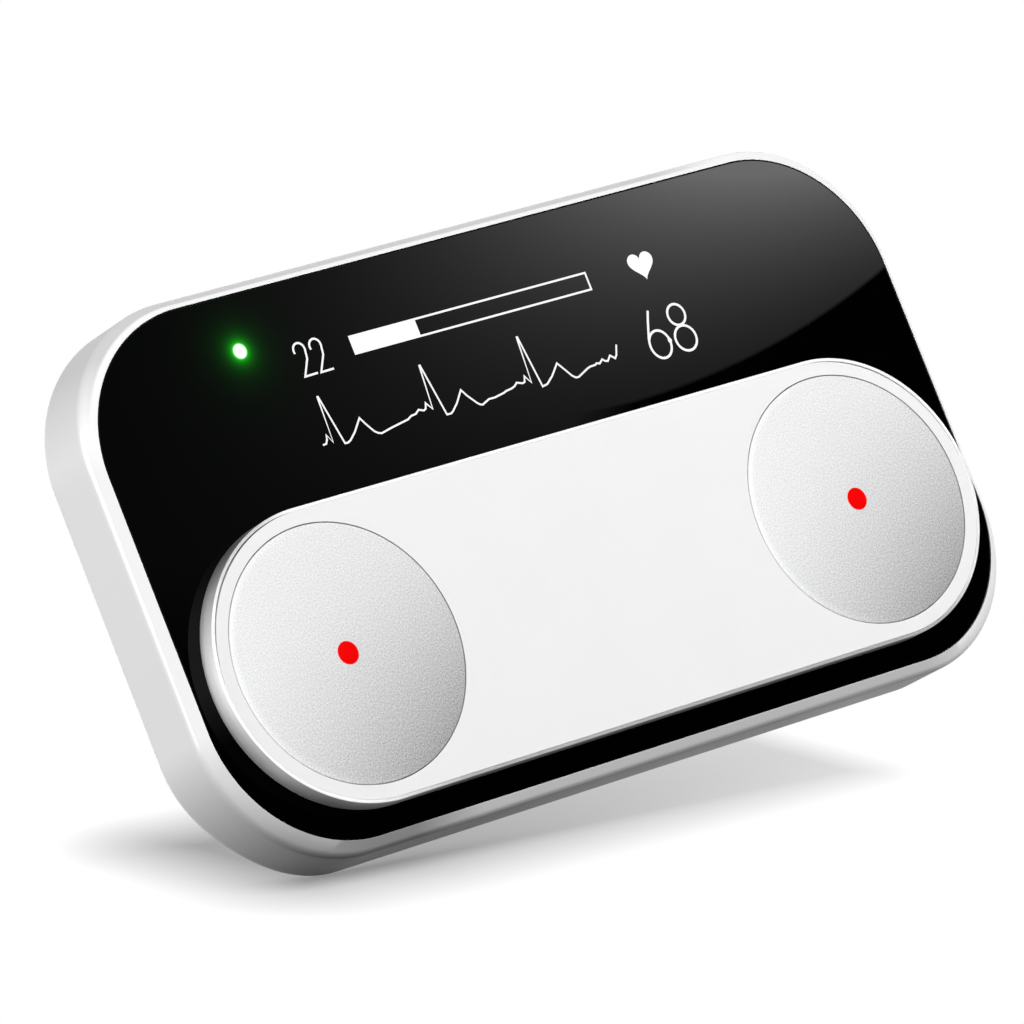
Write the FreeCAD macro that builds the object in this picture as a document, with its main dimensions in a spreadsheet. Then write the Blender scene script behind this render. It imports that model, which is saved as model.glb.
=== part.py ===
import FreeCAD, Part
import math
import os
import Sketcher
from FreeCAD import Rotation, Vector

# Hand-held heart monitor, lying on its flat back.
# Millimetres. +X is the long way, +Y points to the edge above the display, +Z out of the face.
# The origin is the middle of the back.

doc = FreeCAD.newDocument("ecg_home_monitor")

# ---------------------------------------------------------------- driving dimensions

SIZES = (
    # how far a cut reaches past the face that it starts from
    ("overcut", 1.0),
    # casing
    ("body_length", 100.0), ("body_breadth", 56.2), ("body_corner", 14.25),
    ("shell_depth", 8.5), ("wall_thickness", 1.5), ("floor_thickness", 1.3), ("back_round", 0.9),
    ("shoulder_width", 1.0), ("shoulder_drop", 1.5), ("shoulder_round", 1.2),
    # front panel, bonded to the frame behind it
    ("panel_length", 97.5), ("panel_breadth", 53.7), ("panel_corner", 14.0),
    ("panel_thickness", 1.0), ("panel_gap", 0.08), ("adhesive", 0.1), ("adhesive_band", 2.4),
    ("frame_thickness", 1.2), ("frame_gap", 0.15),
    # casing screws, driven from the back into the bosses of the frame
    ("boss_x", 42.5), ("boss_y", 21.0), ("boss_radius", 2.1), ("boss_foot", 3.0),
    ("shell_boss_radius", 2.5), ("boss_gap", 0.05), ("counterbore_radius", 1.75), ("counterbore_depth", 1.4),
    ("screw_radius", 0.8), ("screw_hole_radius", 0.95), ("screw_length", 4.6),
    ("screw_head_radius", 1.5), ("screw_head_height", 0.9), ("drive_width", 0.4),
    ("drive_length", 1.9), ("drive_depth", 0.5),
    # raised sensor plate with its two round electrodes
    ("electrode_spacing", 64.4), ("electrode_line", -9.75), ("plate_rise", 2.35),
    ("ring_outer", 14.75), ("ring_inner", 14.3), ("plate_radius", 14.2),
    ("ring_foot_radius", 13.6), ("ring_foot_height", 0.25), ("ring_edge_round", 0.12),
    ("shadow_gap", 0.3),
    ("gasket_radius", 14.6), ("base_radius", 14.15), ("base_foot_radius", 13.5),
    ("base_thickness", 0.9), ("base_lip", 0.3),
    ("electrode_pocket", 13.0), ("electrode_radius", 12.85), ("electrode_thickness", 0.8),
    ("electrode_sink", 0.05), ("electrode_edge", 0.12), ("mark_radius", 1.15), ("mark_depth", 0.15),
    ("mark_proud", 0.01),
    ("post_radius", 2.5), ("post_fit", 0.05), ("sleeve_radius", 4.0), ("sleeve_hole_radius", 4.15),
    ("sleeve_foot", 5.87), ("clip_level", 5.56), ("clip_thickness", 0.25), ("clip_seat_radius", 2.0),
    ("clip_radius", 3.4), ("clip_mouth", 2.4), ("press_clearance", 0.02),
    ("contact_inner", 4.6), ("contact_outer", 7.2), ("contact_thickness", 0.1),
    ("contact_pin_offset", 6.0), ("contact_pin_radius", 0.45), ("pin_hole_radius", 0.6),
    ("spring_inner", 4.8), ("spring_outer", 7.0), ("spring_strip", 0.15),
    ("stake_x", 16.0), ("stake_offset", 8.5), ("stake_radius", 0.85), ("stake_hole_radius", 0.95),
    ("stake_head_radius", 1.4), ("stake_head_level", 5.6),
    # main board
    ("board_length", 92.6), ("board_breadth", 49.4), ("board_corner", 12.0),
    ("board_level", 4.2), ("board_thickness", 0.8), ("battery_bay_half", 17.6),
    ("battery_bay_edge", -0.8), ("boss_notch_radius", 2.8),
    ("dome_radius", 2.0), ("dome_height", 0.43), ("dome_sheet", 0.08),
    # board screws, driven from behind into the posts of the frame
    ("post_x_upper", 38.5), ("post_y_upper", 3.5), ("post_x_lower", 21.5), ("post_y_lower", -22.0),
    ("board_post_radius", 1.8), ("board_screw_radius", 0.7), ("board_hole_radius", 0.8),
    ("board_screw_length", 2.7), ("board_head_radius", 1.25), ("board_head_height", 0.7),
    ("board_drive_length", 1.5), ("board_drive_width", 0.35), ("board_drive_depth", 0.35),
    # chips on the back of the board
    ("processor_length", 7.0), ("processor_breadth", 7.0), ("processor_height", 0.9),
    ("processor_x", 2.0), ("processor_y", 13.0),
    ("memory_chip_length", 6.0), ("memory_chip_breadth", 5.0), ("memory_chip_height", 0.8),
    ("memory_chip_x", 11.5), ("memory_chip_y", 13.0),
    ("signal_amplifier_length", 6.4), ("signal_amplifier_breadth", 6.4), ("signal_amplifier_height", 1.0),
    ("signal_amplifier_x", -12.0), ("signal_amplifier_y", 11.5),
    ("radio_module_length", 12.0), ("radio_module_breadth", 9.0), ("radio_module_height", 1.6),
    ("radio_module_x", 27.0), ("radio_module_y", 10.5),
    ("crystal_length", 3.2), ("crystal_breadth", 2.5), ("crystal_height", 0.7),
    ("crystal_x", 2.0), ("crystal_y", 19.5),
    ("shield_length", 10.4), ("shield_breadth", 9.6), ("shield_height", 1.6), ("shield_sheet", 0.2),
    ("capacitor_length", 0.8), ("capacitor_breadth", 1.5), ("capacitor_height", 0.8),
    ("capacitor_x", -4.0), ("capacitor_y", 7.4), ("capacitor_pitch", 2.0),
    # display
    ("glass_x", -0.5), ("glass_y", 14.15), ("glass_length", 54.0), ("glass_breadth", 17.3),
    ("glass_thickness", 1.5), ("window_gap", 0.3), ("bond_margin", 0.6), ("foam_band", 2.0),
    ("flex_x", -2.5), ("flex_width", 11.0), ("flex_sheet", 0.1), ("flex_bend", 0.35),
    ("flex_level", 6.1), ("flex_socket_length", 13.0), ("flex_socket_breadth", 3.4),
    ("flex_socket_height", 0.9), ("flex_socket_y", 2.0),
    # status light
    ("light_x", -29.56), ("light_y", 21.3), ("pipe_radius", 0.92), ("pipe_gap", 0.05),
    ("pipe_flange_radius", 1.6), ("pipe_flange_height", 0.4), ("led_length", 1.6),
    ("led_breadth", 0.8), ("led_height", 0.55),
    # power button in the upper edge
    ("key_x", 20.0), ("key_level", 3.9), ("key_length", 8.8), ("key_height", 2.2),
    ("key_gap", 0.1), ("key_sink", 0.05), ("key_flange_length", 10.6), ("key_flange_height", 3.8),
    ("key_flange_thickness", 0.6), ("key_flange_gap", 0.1), ("scoop_length", 12.4),
    ("scoop_height", 4.6), ("scoop_depth", 0.4), ("key_edge_round", 0.25),
    ("nub_radius", 1.0), ("nub_length", 0.6),
    ("switch_length", 4.2), ("switch_breadth", 2.9), ("switch_height", 1.7),
    ("plunger_radius", 0.6), ("plunger_length", 1.25), ("plunger_bore_radius", 0.65),
    ("plunger_bore_depth", 1.3), ("plunger_level", 3.4),
    # charging socket in the upper edge
    ("usb_x", -14.0), ("usb_length", 7.5), ("usb_height", 2.5), ("usb_depth", 5.4),
    ("usb_sheet", 0.3), ("usb_bevel", 0.8), ("usb_inner_bevel", 0.64), ("usb_setback", 0.8), ("usb_gap", 0.3),
    ("tongue_length", 4.0), ("tongue_height", 0.6), ("tongue_depth", 3.6), ("tongue_drop", 0.45),
    # battery
    ("cell_length", 33.0), ("cell_breadth", 21.0), ("cell_height", 3.8), ("cell_round", 1.2),
    ("cell_y", -13.3), ("cell_tape", 0.15), ("cell_tape_length", 28.0), ("cell_tape_breadth", 16.0),
    ("guard_x", 10.5), ("guard_length", 11.0), ("guard_thickness", 0.8), ("guard_height", 3.4),
    ("guard_level", 1.8), ("lead_radius", 0.3), ("lead_pitch", 1.6), ("lead_level", 4.95),
    ("lead_bend", 1.0), ("lead_rise", 0.55), ("plug_x", 10.5), ("plug_y", 2.5), ("plug_length", 5.0),
    ("plug_breadth", 3.0), ("plug_height", 1.0), ("rib_x", 17.1), ("rib_thickness", 0.6),
    ("rib_length", 14.0), ("rib_height", 1.7),
    # buzzer and its sound holes
    ("buzzer_x", -36.5), ("buzzer_y", 12.0), ("buzzer_radius", 4.4), ("buzzer_height", 1.9),
    ("buzzer_port_radius", 0.8), ("sound_hole_radius", 0.5), ("sound_hole_pitch", 1.9),
    # blank label on the back
    ("label_length", 46.0), ("label_breadth", 19.0), ("label_corner", 1.6), ("label_thickness", 0.1),
    ("label_recess", 0.15), ("label_gap", 0.2), ("label_x", 0.0), ("label_y", 0.0),
)

sheet = doc.addObject("Spreadsheet::Sheet", "Sizes")
for row, (alias, number) in enumerate(SIZES, 1):
    sheet.set("A%d" % row, alias)
    sheet.set("B%d" % row, str(number))
    sheet.setAlias("B%d" % row, alias)
doc.recompute()

# Levels that several sub-parts share, as expressions on the sheet.
PANEL_TOP = "Sizes.shell_depth"
PANEL_BACK = "Sizes.shell_depth - Sizes.panel_thickness"
FRAME_TOP = PANEL_BACK + " - Sizes.adhesive"
FRAME_BACK = FRAME_TOP + " - Sizes.frame_thickness"
BOARD_TOP = "Sizes.board_level + Sizes.board_thickness"
BASE_TOP = PANEL_TOP + " + Sizes.base_thickness"
PLATE_TOP = PANEL_TOP + " + Sizes.plate_rise"
RING_FOOT = PANEL_TOP + " + Sizes.shadow_gap"
DISC_TOP = PLATE_TOP + " - Sizes.electrode_sink"
DISC_BACK = DISC_TOP + " - Sizes.electrode_thickness"
CONTACT_TOP = BASE_TOP + " + Sizes.contact_thickness"
INNER_FACE = "Sizes.body_breadth / 2 - Sizes.wall_thickness"
OUTER_FACE = "Sizes.body_breadth / 2"
GLASS_BACK = FRAME_TOP + " - Sizes.glass_thickness"
HALF_SPACING = "Sizes.electrode_spacing / 2"
SIDES = (("left", "-(%s)" % HALF_SPACING), ("right", HALF_SPACING))
HOUSING_BOSSES = tuple((sx + "Sizes.boss_x", sy + "Sizes.boss_y")
                       for sx in ("-", "") for sy in ("-", ""))
BOARD_POSTS = (("-Sizes.post_x_upper", "Sizes.post_y_upper"), ("Sizes.post_x_upper", "Sizes.post_y_upper"),
               ("-Sizes.post_x_lower", "Sizes.post_y_lower"), ("Sizes.post_x_lower", "Sizes.post_y_lower"))
CHIPS = ("processor", "memory_chip", "signal_amplifier", "radio_module", "crystal")
STAKES = tuple((sx + "Sizes.stake_x", "Sizes.electrode_line %s Sizes.stake_offset" % sy)
               for sx in ("-", "") for sy in ("-", "+"))


# ---------------------------------------------------------------- building helpers

def size(text):
    """Number that an expression on the sheet stands for, in millimetres."""
    return float(sheet.evalExpression(text))


def bind(thing, **texts):
    for name, text in texts.items():
        thing.setExpression(name, text)
    return thing


def place(thing, x="0", y="0", z="0"):
    for axis, text in zip("xyz", (x, y, z)):
        thing.setExpression(".Placement.Base." + axis, text)
    return thing


def new_body(label):
    part_body = doc.addObject("PartDesign::Body", label)
    part_body.Label = label
    return part_body


def grown(part_body, feature):
    """Recompute, and stop if a feature left the solid as it was."""
    before = part_body.Shape.Volume if not part_body.Shape.isNull() else 0.0
    doc.recompute()
    if abs(part_body.Shape.Volume - before) < 1e-6:
        raise RuntimeError("%s changes nothing on %s" % (feature.Name, part_body.Label))
    return feature


def new_sketch(part_body, level, x="0", y="0"):
    """Sketch parallel to the back at a level, with its own origin at x, y."""
    sketch = part_body.newObject("Sketcher::SketchObject", part_body.Label + "_outline")
    ground = [f for f in part_body.Origin.OriginFeatures if f.Role == "XY_Plane"][0]
    sketch.AttachmentSupport = [(ground, "")]
    sketch.MapMode = "FlatFace"
    for axis, text in zip("xyz", (x, y, level)):
        sketch.setExpression(".AttachmentOffset.Base." + axis, text)
    return sketch


def rule(sketch, kind, *items, text=None):
    """Add a constraint; text binds its value to the sheet."""
    if text is None:
        return sketch.addConstraint(Sketcher.Constraint(kind, *items))
    index = sketch.addConstraint(Sketcher.Constraint(kind, *items, size(text)))
    sketch.setExpression("Constraints[%d]" % index, text)
    return index


def arc(sketch, x, y, radius, start, stop):
    circle = Part.Circle(Vector(x, y, 0), Vector(0, 0, 1), radius)
    return sketch.addGeometry(Part.ArcOfCircle(circle, math.radians(start), math.radians(stop)))


def rounded_outline(sketch, length, breadth, corner):
    """Rectangle with round corners, centred on the sketch."""
    radius = size(corner)
    x, y = size(length) / 2 - radius, size(breadth) / 2 - radius
    arcs = [arc(sketch, sx * x, sy * y, radius, start, start + 90)
            for sx, sy, start in ((1, 1, 0), (-1, 1, 90), (-1, -1, 180), (1, -1, 270))]
    for number, first in enumerate(arcs):
        second = arcs[(number + 1) % 4]
        ends = sketch.getPoint(first, 2), sketch.getPoint(second, 1)
        side = sketch.addGeometry(Part.LineSegment(*ends))
        rule(sketch, "Tangent", first, 2, side, 1)
        rule(sketch, "Tangent", side, 2, second, 1)
        rule(sketch, "Vertical" if number % 2 else "Horizontal", side)
    for other in arcs[1:]:
        rule(sketch, "Equal", arcs[0], other)
    rule(sketch, "Symmetric", arcs[0], 3, arcs[2], 3, -1, 1)
    rule(sketch, "Radius", arcs[0], text=corner)
    rule(sketch, "DistanceX", -1, 1, arcs[0], 1, text="(%s) / 2" % length)
    rule(sketch, "DistanceY", -1, 1, arcs[0], 2, text="(%s) / 2" % breadth)


def stadium_outline(sketch, spacing, radius):
    """Two half circles joined by straight sides, centred on the sketch."""
    r, x = size(radius), size(spacing) / 2
    right = arc(sketch, x, 0, r, -90, 90)
    left = arc(sketch, -x, 0, r, 90, 270)
    for first, second in ((right, left), (left, right)):
        ends = sketch.getPoint(first, 2), sketch.getPoint(second, 1)
        side = sketch.addGeometry(Part.LineSegment(*ends))
        rule(sketch, "Tangent", first, 2, side, 1)
        rule(sketch, "Tangent", side, 2, second, 1)
    rule(sketch, "Equal", right, left)
    rule(sketch, "Symmetric", right, 3, left, 3, -1, 1)
    rule(sketch, "PointOnObject", right, 3, -1)
    rule(sketch, "Radius", right, text=radius)
    rule(sketch, "DistanceX", -1, 1, right, 3, text="(%s) / 2" % spacing)


def round_hole(sketch, x, y, radius):
    circle = sketch.addGeometry(Part.Circle(Vector(size(x), size(y), 0), Vector(0, 0, 1), size(radius)))
    rule(sketch, "Radius", circle, text=radius)
    rule(sketch, "DistanceX", -1, 1, circle, 3, text=x)
    rule(sketch, "DistanceY", -1, 1, circle, 3, text=y)


def pad(part_body, sketch, height):
    feature = part_body.newObject("PartDesign::Pad", part_body.Label + "_pad")
    feature.Profile = sketch
    bind(feature, Length=height)
    return grown(part_body, feature)


def pocket(part_body, sketch, depth):
    """Cut downwards, towards the back, from the sketch."""
    feature = part_body.newObject("PartDesign::Pocket", part_body.Label + "_pocket")
    feature.Profile = sketch
    bind(feature, Length=depth)
    return grown(part_body, feature)


def box(part_body, kind, length, breadth, height, x, y, z):
    """Additive or Subtractive box from its middle in X and Y and its lowest Z."""
    feature = part_body.newObject("PartDesign::%sBox" % kind, part_body.Label + "_box")
    bind(feature, Length=length, Width=breadth, Height=height)
    place(feature, "%s - (%s) / 2" % (x, length), "%s - (%s) / 2" % (y, breadth), z)
    return grown(part_body, feature)


def cylinder(part_body, kind, radius, height, x, y, z, turned=False):
    """Additive or Subtractive cylinder that stands up from z or, turned, runs along +Y from y."""
    feature = part_body.newObject("PartDesign::%sCylinder" % kind, part_body.Label + "_cylinder")
    bind(feature, Radius=radius, Height=height)
    if turned:
        feature.Placement.Rotation = Rotation(Vector(1, 0, 0), -90)
    place(feature, x, y, z)
    return grown(part_body, feature)


def dress(part_body, kind, edges, **texts):
    """Fillet or Chamfer on the edges that a test picks."""
    base = part_body.Tip
    names = ["Edge%d" % n for n, edge in enumerate(base.Shape.Edges, 1) if edges(edge)]
    feature = part_body.newObject("PartDesign::" + kind, part_body.Label + "_" + kind.lower())
    feature.Base = (base, names)
    if "Size2" in texts:
        feature.ChamferType = "Two distances"
    bind(feature, **texts)
    return grown(part_body, feature)


def flat_at(level, edge):
    box_of_edge = edge.BoundBox
    return abs(box_of_edge.ZMin - level) < 1e-4 and abs(box_of_edge.ZMax - level) < 1e-4


def plain_box(label, length, breadth, height, x, y, z):
    """Box given by its middle in X and Y and its lowest Z, all expressions."""
    block = doc.addObject("Part::Box", label)
    block.Label = label
    bind(block, Length=length, Width=breadth, Height=height)
    return place(block, "%s - (%s) / 2" % (x, length), "%s - (%s) / 2" % (y, breadth), z)


def plain_cylinder(label, radius, height, x, y, z):
    rod = doc.addObject("Part::Cylinder", label)
    rod.Label = label
    bind(rod, Radius=radius, Height=height)
    return place(rod, x, y, z)


def join(kind, label, base, tool):
    """Part::Cut, Part::Fuse or Part::Common of two objects."""
    result = doc.addObject("Part::" + kind, label)
    result.Label = label
    result.Base = base
    result.Tool = tool
    return result


def group(label, members):
    """Separate solids of one kind as one node."""
    result = doc.addObject("Part::Compound", label)
    result.Label = label
    result.Links = members
    return result


# ---------------------------------------------------------------- casing

def make_rear_shell():
    """White tub: floor, side wall, soft shoulder round the face, screw bosses and edge openings."""
    shell = new_body("rear_shell")
    outline = new_sketch(shell, "0")
    rounded_outline(outline, "Sizes.body_length", "Sizes.body_breadth", "Sizes.body_corner")
    pad(shell, outline, "Sizes.shell_depth")
    dress(shell, "Fillet", lambda e: flat_at(0, e), Radius="Sizes.back_round")
    top = size(PANEL_TOP)
    dress(shell, "Chamfer", lambda e: flat_at(top, e),
          Size="Sizes.shoulder_width", Size2="Sizes.shoulder_drop")
    shoulder = min(size("Sizes.shoulder_width"), size("Sizes.shoulder_drop"))
    creases = [top - size("Sizes.shoulder_drop"), top - shoulder]
    level = [z for z in creases if any(flat_at(z, e) for e in shell.Shape.Edges)][0]
    dress(shell, "Fillet", lambda e: flat_at(level, e), Radius="Sizes.shoulder_round")

    recess = new_sketch(shell, PANEL_TOP)
    gaps = " + 2 * Sizes.panel_gap"
    rounded_outline(recess, "Sizes.panel_length" + gaps, "Sizes.panel_breadth" + gaps,
                    "Sizes.panel_corner + Sizes.panel_gap")
    pocket(shell, recess, "Sizes.panel_thickness")
    cavity = new_sketch(shell, PANEL_BACK)
    walls = " - 2 * Sizes.wall_thickness"
    rounded_outline(cavity, "Sizes.body_length" + walls, "Sizes.body_breadth" + walls,
                    "Sizes.body_corner - Sizes.wall_thickness")
    pocket(shell, cavity, PANEL_BACK + " - Sizes.floor_thickness")

    for x, y in HOUSING_BOSSES:
        foot = "Sizes.boss_foot - Sizes.boss_gap - Sizes.floor_thickness"
        cylinder(shell, "Additive", "Sizes.shell_boss_radius", foot, x, y, "Sizes.floor_thickness")
        cylinder(shell, "Subtractive", "Sizes.screw_hole_radius", "Sizes.boss_foot", x, y, "0")
        cylinder(shell, "Subtractive", "Sizes.counterbore_radius", "Sizes.counterbore_depth", x, y, "0")
    for x in ("-Sizes.rib_x", "Sizes.rib_x"):
        box(shell, "Additive", "Sizes.rib_thickness", "Sizes.rib_length", "Sizes.rib_height",
            x, "Sizes.cell_y", "Sizes.floor_thickness")

    holes = new_sketch(shell, "Sizes.floor_thickness", "Sizes.buzzer_x", "Sizes.buzzer_y")
    pitch = "Sizes.sound_hole_pitch"
    for x, y in (("0", "0"), (pitch, "0"), ("-" + pitch, "0"), ("0", pitch), ("0", "-" + pitch)):
        round_hole(holes, x, y, "Sizes.sound_hole_radius")
    pocket(shell, holes, "Sizes.floor_thickness")

    label_seat = new_sketch(shell, "Sizes.label_recess", "Sizes.label_x", "Sizes.label_y")
    rounded_outline(label_seat, "Sizes.label_length + 2 * Sizes.label_gap",
                    "Sizes.label_breadth + 2 * Sizes.label_gap", "Sizes.label_corner + Sizes.label_gap")
    pocket(shell, label_seat, "Sizes.label_recess")

    key_slot(shell, "Subtractive", "Sizes.key_length + 2 * Sizes.key_gap",
             "Sizes.key_height + 2 * Sizes.key_gap", INNER_FACE + " - Sizes.overcut",
             "Sizes.wall_thickness + 2 * Sizes.overcut")
    key_slot(shell, "Subtractive", "Sizes.scoop_length", "Sizes.scoop_height",
             OUTER_FACE + " - Sizes.scoop_depth", "Sizes.scoop_depth + Sizes.overcut")
    box(shell, "Subtractive", "Sizes.usb_length + 2 * Sizes.usb_gap",
        "Sizes.wall_thickness + 2 * Sizes.overcut",
        "Sizes.usb_height + 2 * Sizes.usb_gap", "Sizes.usb_x", OUTER_FACE + " - Sizes.wall_thickness / 2",
        "Sizes.board_level - Sizes.usb_height - Sizes.usb_gap")
    lowest, middle = size("Sizes.board_level - Sizes.usb_height - Sizes.usb_gap"), size("Sizes.usb_x")
    dress(shell, "Fillet", lambda e: runs_through_wall(e, lowest, middle), Radius="Sizes.usb_bevel")
    return shell


def key_slot(part_body, kind, length, height, y, depth):
    """Slot with round ends that runs along +Y from y, made of a box and two cylinders."""
    half = "((%s) - (%s)) / 2" % (length, height)
    low = "Sizes.key_level - (%s) / 2" % height
    box(part_body, kind, "(%s) - (%s)" % (length, height), depth, height, "Sizes.key_x",
        "%s + (%s) / 2" % (y, depth), low)
    for sign in ("-", "+"):
        cylinder(part_body, kind, "(%s) / 2" % height, depth, "Sizes.key_x %s %s" % (sign, half), y,
                 "Sizes.key_level", turned=True)


def runs_through_wall(edge, level, middle):
    """Lower long corners of the charging opening, which run along Y through the wall."""
    bounds = edge.BoundBox
    reach = size("Sizes.usb_length / 2 + Sizes.usb_gap")
    return (flat_at(level, edge) and bounds.YLength > 0.5 and bounds.XLength < 1e-4
            and abs(abs(bounds.XMin - middle) - reach) < 1e-3 and bounds.YMin > size(INNER_FACE) - 1e-3)


def make_front_panel():
    """Black face plate with holes for the light pipe, guide sleeves, stakes and contact pins."""
    panel = new_body("front_panel")
    outline = new_sketch(panel, PANEL_BACK)
    rounded_outline(outline, "Sizes.panel_length", "Sizes.panel_breadth", "Sizes.panel_corner")
    round_hole(outline, "Sizes.light_x", "Sizes.light_y", "Sizes.pipe_radius + Sizes.pipe_gap")
    sensor_holes(outline)
    pad(panel, outline, "Sizes.panel_thickness")
    return panel


def sensor_holes(sketch):
    """Holes that the sensor base and the contacts reach through."""
    for _, middle in SIDES:
        round_hole(sketch, middle, "Sizes.electrode_line", "Sizes.sleeve_hole_radius")
        round_hole(sketch, middle, "Sizes.electrode_line + Sizes.contact_pin_offset", "Sizes.pin_hole_radius")
    for x, y in STAKES:
        round_hole(sketch, x, y, "Sizes.stake_hole_radius")


def make_front_frame():
    """Black inner frame behind the panel, with the bosses and posts that all else screws to."""
    frame = new_body("front_frame")
    outline = new_sketch(frame, FRAME_BACK)
    inset = " - 2 * (Sizes.wall_thickness + Sizes.frame_gap)"
    rounded_outline(outline, "Sizes.body_length" + inset, "Sizes.body_breadth" + inset,
                    "Sizes.body_corner - Sizes.wall_thickness - Sizes.frame_gap")
    round_hole(outline, "Sizes.light_x", "Sizes.light_y", "Sizes.pipe_radius + 2 * Sizes.pipe_gap")
    sensor_holes(outline)
    pad(frame, outline, "Sizes.frame_thickness")
    box(frame, "Subtractive", "Sizes.glass_length + 2 * Sizes.window_gap",
        "Sizes.glass_breadth + 2 * Sizes.window_gap", "Sizes.frame_thickness + 2 * Sizes.overcut",
        "Sizes.glass_x", "Sizes.glass_y", FRAME_BACK + " - Sizes.overcut")
    for x, y in HOUSING_BOSSES:
        cylinder(frame, "Additive", "Sizes.boss_radius", FRAME_BACK + " - Sizes.boss_foot",
                 x, y, "Sizes.boss_foot")
        cylinder(frame, "Subtractive", "Sizes.screw_radius", "Sizes.screw_length - Sizes.screw_radius",
                 x, y, "Sizes.boss_foot")
    for x, y in BOARD_POSTS:
        cylinder(frame, "Additive", "Sizes.board_post_radius", FRAME_BACK + " - (%s)" % BOARD_TOP,
                 x, y, BOARD_TOP)
        cylinder(frame, "Subtractive", "Sizes.board_screw_radius",
                 "Sizes.board_screw_length - Sizes.board_screw_radius", x, y, BOARD_TOP)
    return frame


def make_panel_adhesive():
    """Band of double-sided tape between the frame and the panel."""
    tape = new_body("panel_adhesive")
    outline = new_sketch(tape, FRAME_TOP)
    inset = " - 2 * (Sizes.wall_thickness + Sizes.frame_gap)"
    rounded_outline(outline, "Sizes.body_length" + inset, "Sizes.body_breadth" + inset,
                    "Sizes.body_corner - Sizes.wall_thickness - Sizes.frame_gap")
    pad(tape, outline, "Sizes.adhesive")
    middle = new_sketch(tape, PANEL_BACK)
    inset = " - 2 * (Sizes.wall_thickness + Sizes.frame_gap + Sizes.adhesive_band)"
    rounded_outline(middle, "Sizes.body_length" + inset, "Sizes.body_breadth" + inset,
                    "Sizes.body_corner - Sizes.wall_thickness - Sizes.frame_gap - Sizes.adhesive_band")
    pocket(tape, middle, "Sizes.adhesive")
    return tape


def make_rear_label():
    """Blank label in its shallow seat on the back."""
    label = new_body("rear_label")
    outline = new_sketch(label, "Sizes.label_recess - Sizes.label_thickness",
                         "Sizes.label_x", "Sizes.label_y")
    rounded_outline(outline, "Sizes.label_length", "Sizes.label_breadth", "Sizes.label_corner")
    pad(label, outline, "Sizes.label_thickness")
    return label


def make_screws(label, spots, seat, radius, length, head_radius, head_height, drive, width, depth):
    """Cross-head screws that are driven from the back; seat is the level under the head."""
    screws = []
    for number, (x, y) in enumerate(spots, 1):
        name = "%s_%d" % (label, number)
        head_level = "%s - %s" % (seat, head_height)
        shank = plain_cylinder(name + "_shank", radius, length, x, y, seat)
        head = plain_cylinder(name + "_head", head_radius, head_height, x, y, head_level)
        blank = join("Fuse", name + "_blank", shank, head)
        across = plain_box(name + "_across", drive, width, depth, x, y, head_level)
        along = plain_box(name + "_along", width, drive, depth, x, y, head_level)
        cross = join("Fuse", name + "_cross", across, along)
        screws.append(join("Cut", name, blank, cross))
    return group(label, screws)


# ---------------------------------------------------------------- sensor plate

def make_trim_ring():
    """Polished ring round the sensor plate; its foot is trapped under the sensor base."""
    ring = new_body("trim_ring")
    outline = new_sketch(ring, RING_FOOT, y="Sizes.electrode_line")
    stadium_outline(outline, "Sizes.electrode_spacing", "Sizes.ring_outer")
    pad(ring, outline, "Sizes.plate_rise - Sizes.shadow_gap")
    bore = new_sketch(ring, PLATE_TOP, y="Sizes.electrode_line")
    stadium_outline(bore, "Sizes.electrode_spacing", "Sizes.ring_inner")
    pocket(ring, bore, "Sizes.plate_rise - Sizes.shadow_gap - Sizes.ring_foot_height")
    foot = new_sketch(ring, PLATE_TOP, y="Sizes.electrode_line")
    stadium_outline(foot, "Sizes.electrode_spacing", "Sizes.ring_foot_radius")
    pocket(ring, foot, "Sizes.plate_rise")
    top = size(PLATE_TOP)
    dress(ring, "Fillet", lambda e: flat_at(top, e), Radius="Sizes.ring_edge_round")
    return ring


def make_trim_gasket():
    """Thin black gasket that leaves a shadow line between ring and panel."""
    gasket = new_body("trim_gasket")
    outline = new_sketch(gasket, PANEL_TOP, y="Sizes.electrode_line")
    stadium_outline(outline, "Sizes.electrode_spacing", "Sizes.gasket_radius")
    pad(gasket, outline, "Sizes.shadow_gap")
    middle = new_sketch(gasket, RING_FOOT, y="Sizes.electrode_line")
    stadium_outline(middle, "Sizes.electrode_spacing", "Sizes.ring_foot_radius")
    pocket(gasket, middle, "Sizes.shadow_gap")
    return gasket


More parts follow.
